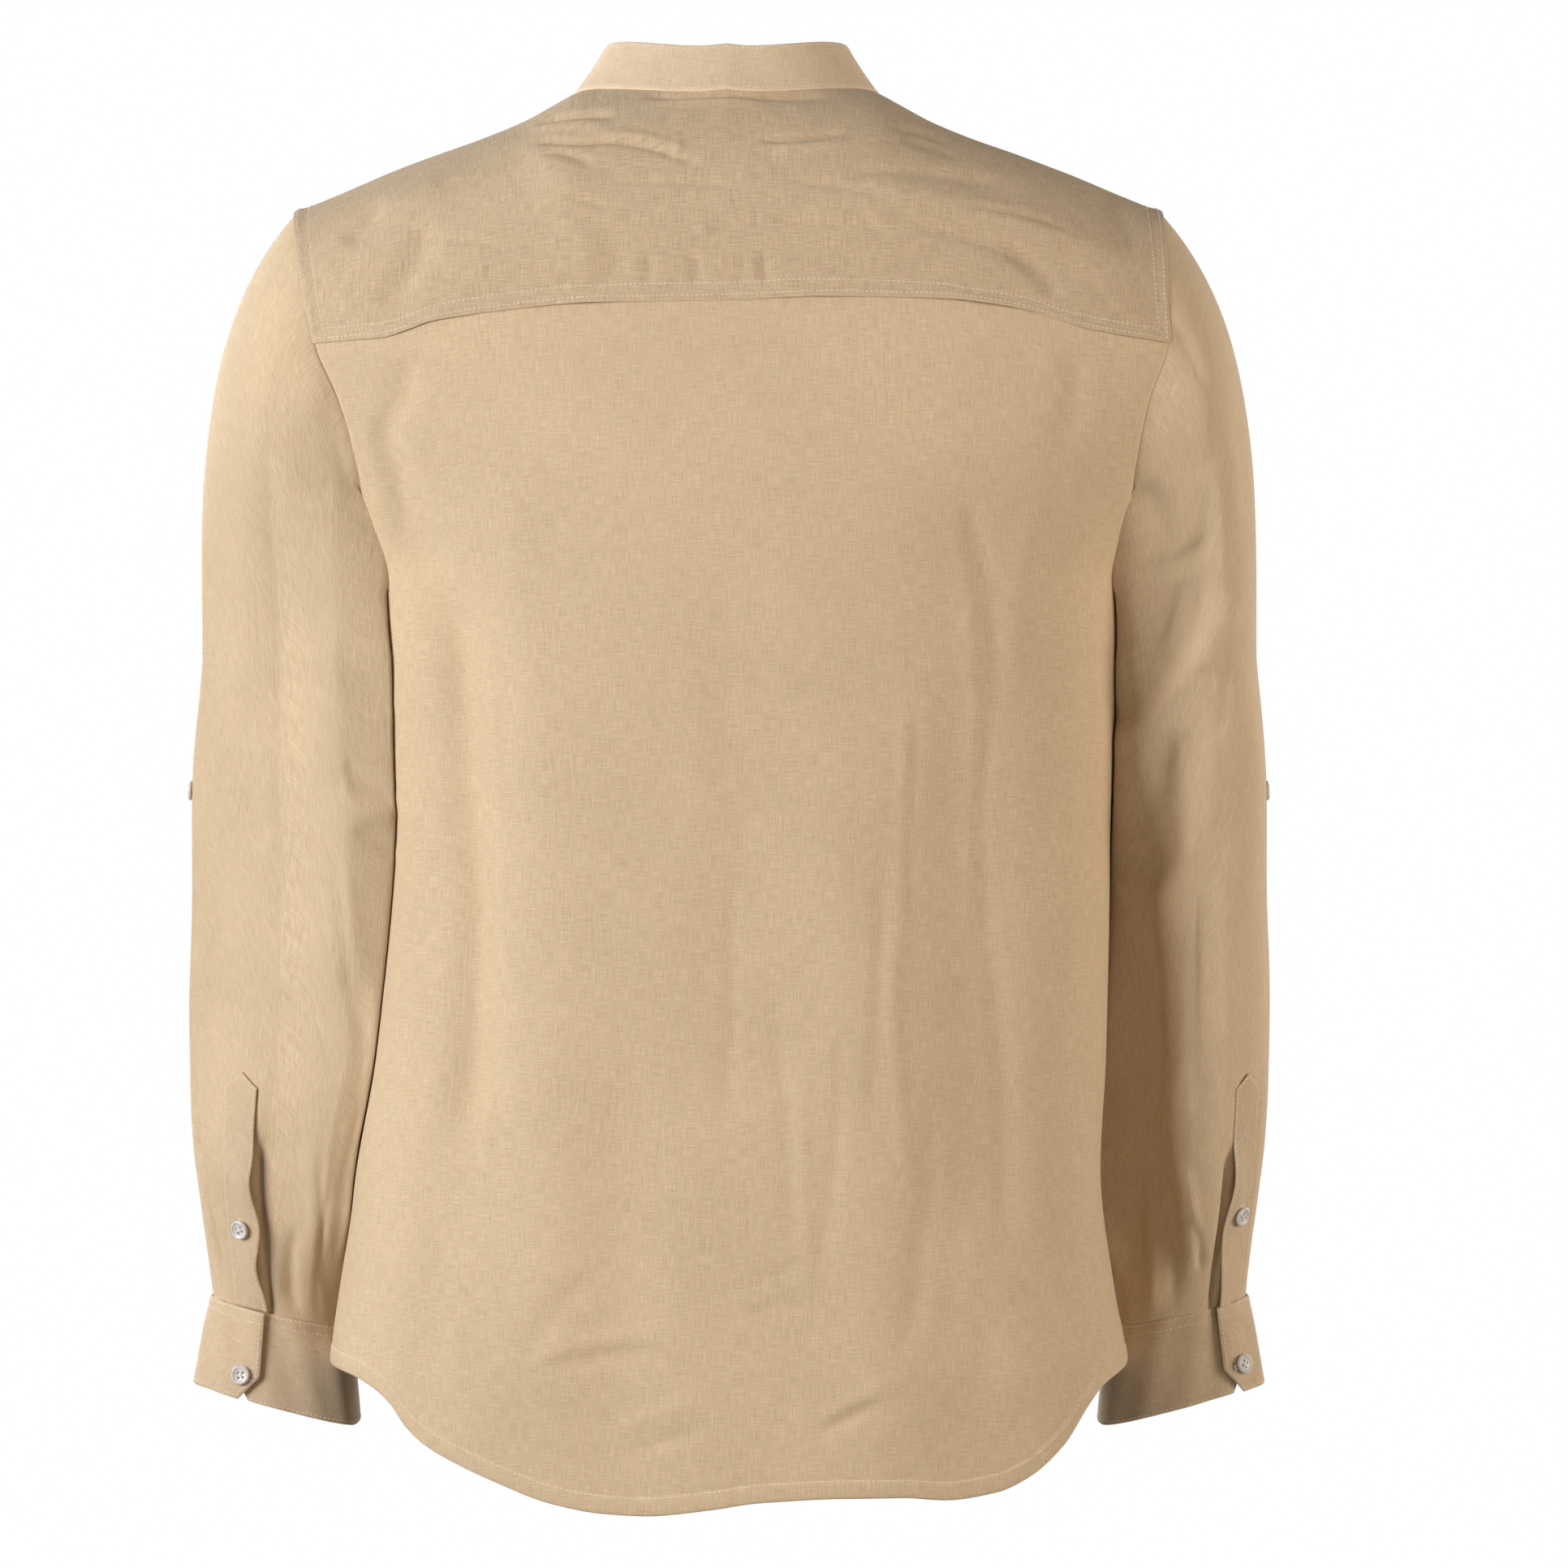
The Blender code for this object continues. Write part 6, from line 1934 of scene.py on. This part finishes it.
def buttonhole_parts(angle):
    """Bars of thread round a slot: vertices and faces, lying in the button's own plane."""
    vertices, faces = [], []
    straight = HOLE_LENGTH / 2 - HOLE_HALF_WIDTH
    bars = []
    for at in np.arange(-straight, straight, BAR_STEP):
        for sign in (-1, 1):
            bars.append(((at, sign * SLOT_HALF_WIDTH), (at, sign * HOLE_HALF_WIDTH)))
    for end in (-1, 1):
        for at in np.arange(-HOLE_HALF_WIDTH, HOLE_HALF_WIDTH + 0.1, BAR_STEP):
            bars.append(tuple((end * (straight + past), at) for past in HOLE_ENDS))
    turn = np.array([[math.cos(angle), -math.sin(angle)], [math.sin(angle), math.cos(angle)]])
    for start, stop in bars:
        a, b = turn @ np.array(start), turn @ np.array(stop)
        way = unit(b - a)
        aside = np.array([-way[1], way[0]]) * BAR_HALF_WIDTH
        base = len(vertices)
        for place, height in ((a, 0.02), (a + (b - a) * 0.5, BAR_HEIGHT), (b, 0.02)):
            for sign in (-1, 0, 1):
                rise = height if sign == 0 else 0.0
                vertices.append((*(place + aside * sign), rise))
        for k in (0, 3):
            for j in (0, 1):
                faces.append((base + k + j, base + k + j + 1, base + k + j + 4,
                              base + k + j + 3))
    return vertices, faces


def shank_parts():
    """Two crossed bars of thread through the four holes, and the shank below."""
    vertices, faces = [], []
    top = BUTTON_HEIGHT * DISH
    for lane in SHANK_LANES:
        for sx in (-1, 1):
            ends = (np.array((-HOLE_PLACE, -sx * HOLE_PLACE + lane)),
                    np.array((HOLE_PLACE, sx * HOLE_PLACE + lane)))
            way = unit(ends[1] - ends[0])
            aside = np.array([-way[1], way[0]])
            base = len(vertices)
            for step in rows_of(SHANK_PATH):
                place = ends[0] + (ends[1] - ends[0]) * step["share"]
                for k in range(SHANK_SIDES):
                    angle = 2 * math.pi * k / SHANK_SIDES
                    offset = aside * math.cos(angle) * SHANK_WIDE
                    vertices.append((*(place + offset),
                                     top + step["rise"] + SHANK_HIGH * math.sin(angle)))
            for ring in range(len(SHANK_PATH["share"]) - 1):
                low = base + ring * SHANK_SIDES
                high = low + SHANK_SIDES
                for k in range(SHANK_SIDES):
                    after = (k + 1) % SHANK_SIDES
                    faces.append((low + k, low + after, high + after, high + k))
    return vertices, faces


def parts_mesh(name, parts):
    mesh = bpy.data.meshes.new(name)
    mesh.from_pydata((np.array(parts[0]) * MM).tolist(), [], parts[1])
    mesh.shade_smooth()
    mesh.materials.append(cream_thread)
    return mesh


# %% [markdown]
# A button is placed on the point of its panel that is nearest to its CAD solid. The panel's
# normal there gives the direction it faces, and the line up the shirt its turn.

# %% Place the buttons
BUTTON_SEAT = 0.5               # the thread holds a button this far off the cloth
ROLL_SINK = 1.0                 # a roll button is drawn into the soft sleeve
CUFF_BUTTON_OUT = 8.0           # a cuff button is looked for on the outer layer


def place_matrix(point, out, up):
    out = unit(np.array(out, float))
    up = np.array(up, float)
    up = unit(up - out * np.dot(up, out))
    across = np.cross(up, out)
    matrix = np.eye(4)
    matrix[:3, 0], matrix[:3, 1], matrix[:3, 2] = across, up, out
    matrix[:3, 3] = np.array(point) * MM
    return matrix


def nearest_on(panel, target):
    """The grid point of a panel nearest to a place, its normal, and its direction up."""
    outer = panel.points + panel.facing * panel.thick[..., None] / 2
    distance = np.linalg.norm(outer - np.array(target, float), axis=-1)
    i, j = np.unravel_index(np.argmin(distance), distance.shape)
    i = min(max(i, 1), outer.shape[0] - 2)
    return outer[i, j], panel.facing[i, j], outer[i - 1, j] - outer[i + 1, j]


def placed(name, mesh, matrix):
    made = new_object(name, mesh)
    made.matrix_world = Matrix(matrix)
    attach(made, "root")
    return made


def add_button(word, point, out, up, hole_way=None, tilt=0.0):
    """A button with its thread and its buttonhole."""
    seat = np.array(point) + unit(np.array(out)) * BUTTON_SEAT
    matrix = place_matrix(seat, out, up)
    spin = np.array([[math.cos(tilt), -math.sin(tilt), 0, 0],
                     [math.sin(tilt), math.cos(tilt), 0, 0], [0, 0, 1, 0], [0, 0, 0, 1]])
    made = placed("resin_" + word, button_mesh, matrix @ spin)
    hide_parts(word)
    placed("thread_" + word, shank_mesh, matrix @ spin)
    if hole_way is not None:
        flat = place_matrix(np.array(point), out, up)
        placed("buttonhole_" + word, hole_meshes[hole_way], flat)
    print(f"{word}: at", [round(float(v), 1) for v in point], "mm")


shank_mesh = parts_mesh("shank thread", shank_parts())
hole_meshes = {"upright": parts_mesh("upright buttonhole", buttonhole_parts(math.pi / 2)),
               "level": parts_mesh("level buttonhole", buttonhole_parts(0.0))}


def cad_middle(node):
    low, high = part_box(node)
    return np.array((low + high) / 2) / MM


for k in range(1, 7):
    word = f"button_front_{k}"
    add_button(word, *nearest_on(band, cad_middle(word)), "upright", tilt=0.3 * k)
add_button("button_collar", *nearest_on(collar, cad_middle("button_collar")), "level")
for side, word in BOTH_SIDES:
    node = f"button_placket_{word}"
    add_button(node, *nearest_on(plackets[side], cad_middle(node)), "upright", tilt=0.5)
    node = f"button_cuff_{word}"
    target = cad_middle(node) + placket_out(side) * CUFF_BUTTON_OUT
    add_button(node, *nearest_on(cuffs[side], target), "level", tilt=0.8)
    node = f"button_roll_{word}"
    point, out, up = nearest_on(sleeves[side], cad_middle(node))
    add_button(node, point - out * ROLL_SINK, out, up, None, tilt=0.2)

# %% [markdown]
# ## Stage, light and camera
# A plain pale floor sweeps up behind the shirt, so no line shows where floor and wall meet.
# The camera sees it and the surroundings as white, while the shirt gets their light much
# weaker: a mix by the kind of ray does that, and it keeps the folds' shadows deep.

# %% The floor
WHITE = (1.0, 1.0, 1.0, 1.0)


def seen_as_white(tree, shader, kind, output):
    """The shader for every ray but the camera's own, which gets plain white."""
    white = put(tree, kind, {"Color": WHITE, "Strength": 1.0}).outputs[0]
    seen = put(tree, "ShaderNodeLightPath").outputs["Is Camera Ray"]
    whole = put(tree, "ShaderNodeMixShader", {0: seen, 1: shader.outputs[0], 2: white})
    tree.links.new(whole.outputs[0], tree.nodes[output].inputs["Surface"])


def stage_material():
    material, tree, shader = new_material("pale stage")
    place = put(tree, "ShaderNodeTexCoord").outputs["Object"]
    shade = spread(tree, noise(tree, place, 2.0, 2.0), 0.3, 0.7, 0.24, 0.27)
    tree.links.new(grey(tree, shade), shader.inputs["Base Color"])
    shader.inputs["Roughness"].default_value = 0.9
    seen_as_white(tree, shader, "ShaderNodeEmission", "Material Output")
    return material


def sweep_mesh(half_width_m=12.0, front=-9.0, back_at=9.0, floor=-0.92, height=6.0, bend=1.6,
               steps=16):
    """The floor's strip, in metres: level, then a quarter bend, then upright."""
    profile = [(front, floor), (back_at - bend, floor)]
    for k in range(1, steps + 1):
        angle = math.pi / 2 * k / steps
        profile.append((back_at - bend + bend * math.sin(angle),
                        floor + bend - bend * math.cos(angle)))
    profile.append((back_at, height))
    vertices = [(x, y, z) for y, z in profile for x in (-half_width_m, half_width_m)]
    faces = [(2 * k, 2 * k + 1, 2 * k + 3, 2 * k + 2) for k in range(len(profile) - 1)]
    mesh = bpy.data.meshes.new("floor")
    mesh.from_pydata(vertices, [], faces)
    mesh.shade_smooth()
    return mesh


floor = new_object("floor", sweep_mesh(), stage_material())
print("floor:", len(floor.data.polygons), "faces")

# %% [markdown]
# ### Lights
# Each light is a square soft box, placed by how far it is turned to the left of the camera
# and how high it is. The key stands at the left and makes the folds of the back read. A
# softer one on the right lights the outer side of that sleeve, a weak warm one beside the
# camera stands for light that the room sends back, and one high on the left lights the
# shoulders. Two more stand on the other side, so that the front can be looked at too.

# %% Lights and surroundings
MIDDLE = (0.0, 0.0, -0.38)      # of the shirt; this and the next two are metres
LIGHT_DISTANCE, LIGHT_SIZE = 2.9, 1.4


def studio_light(name, turn, lift, power, colour=(1.0, 1.0, 1.0)):
    """A square soft light that shines at the shirt's middle."""
    lamp = bpy.data.lights.new(name, "AREA")
    lamp.shape = "RECTANGLE"
    lamp.size, lamp.size_y = LIGHT_SIZE, LIGHT_SIZE
    lamp.energy = power
    lamp.color = colour
    turn, lift = math.radians(turn), math.radians(lift)
    way = np.array([-math.sin(turn) * math.cos(lift), -math.cos(turn) * math.cos(lift),
                    math.sin(lift)])
    matrix = place_matrix((0, 0, 0), way, (0, 0, 1))
    matrix[:3, 3] = np.array(MIDDLE) + LIGHT_DISTANCE * way
    new_object(name, lamp).matrix_world = Matrix(matrix)
    print(f"{name}: {power:.0f} W")


studio_light("key light", 54, 12, 87.0)
studio_light("warm fill", -22, 5, 9.0, (1.0, 0.78, 0.55))
studio_light("side light", -68, 5, 50.0, (1.0, 0.92, 0.82))
studio_light("top light", 60, 60, 13.0)
studio_light("front key", 150, 12, 70.0)
studio_light("front fill", 215, 8, 30.0)
world = bpy.data.worlds.new("pale surroundings")
bpy.context.scene.world = world
world.use_nodes = True
sky = world.node_tree.nodes["Background"]
sky.inputs["Color"].default_value = WHITE
sky.inputs["Strength"].default_value = 0.015
seen_as_white(world.node_tree, sky, "ShaderNodeBackground", "World Output")
bpy.context.scene.view_settings.view_transform = "Standard"

# %% [markdown]
# ### Camera
# The camera looks level along +Y at the back of the shirt, from three metres away. A long
# lens from there keeps the sleeves and the body at nearly one scale, as a catalogue does.

# %% The camera
DISTANCE = 3.0                  # metres
VIEW_WIDTH = 0.85               # metres that the picture shows at that distance
CAMERA_X, CAMERA_Z = 0.030, -0.3766
SENSOR = 36.0
camera_data = bpy.data.cameras.new("camera")
camera_data.sensor_width = SENSOR
camera_data.lens = SENSOR * DISTANCE / VIEW_WIDTH
camera = new_object("camera", camera_data)
camera.location = (CAMERA_X, -DISTANCE, CAMERA_Z)
camera.rotation_euler = (math.pi / 2, 0.0, 0.0)
bpy.context.scene.camera = camera
print("lens:", round(camera_data.lens, 1), "mm")
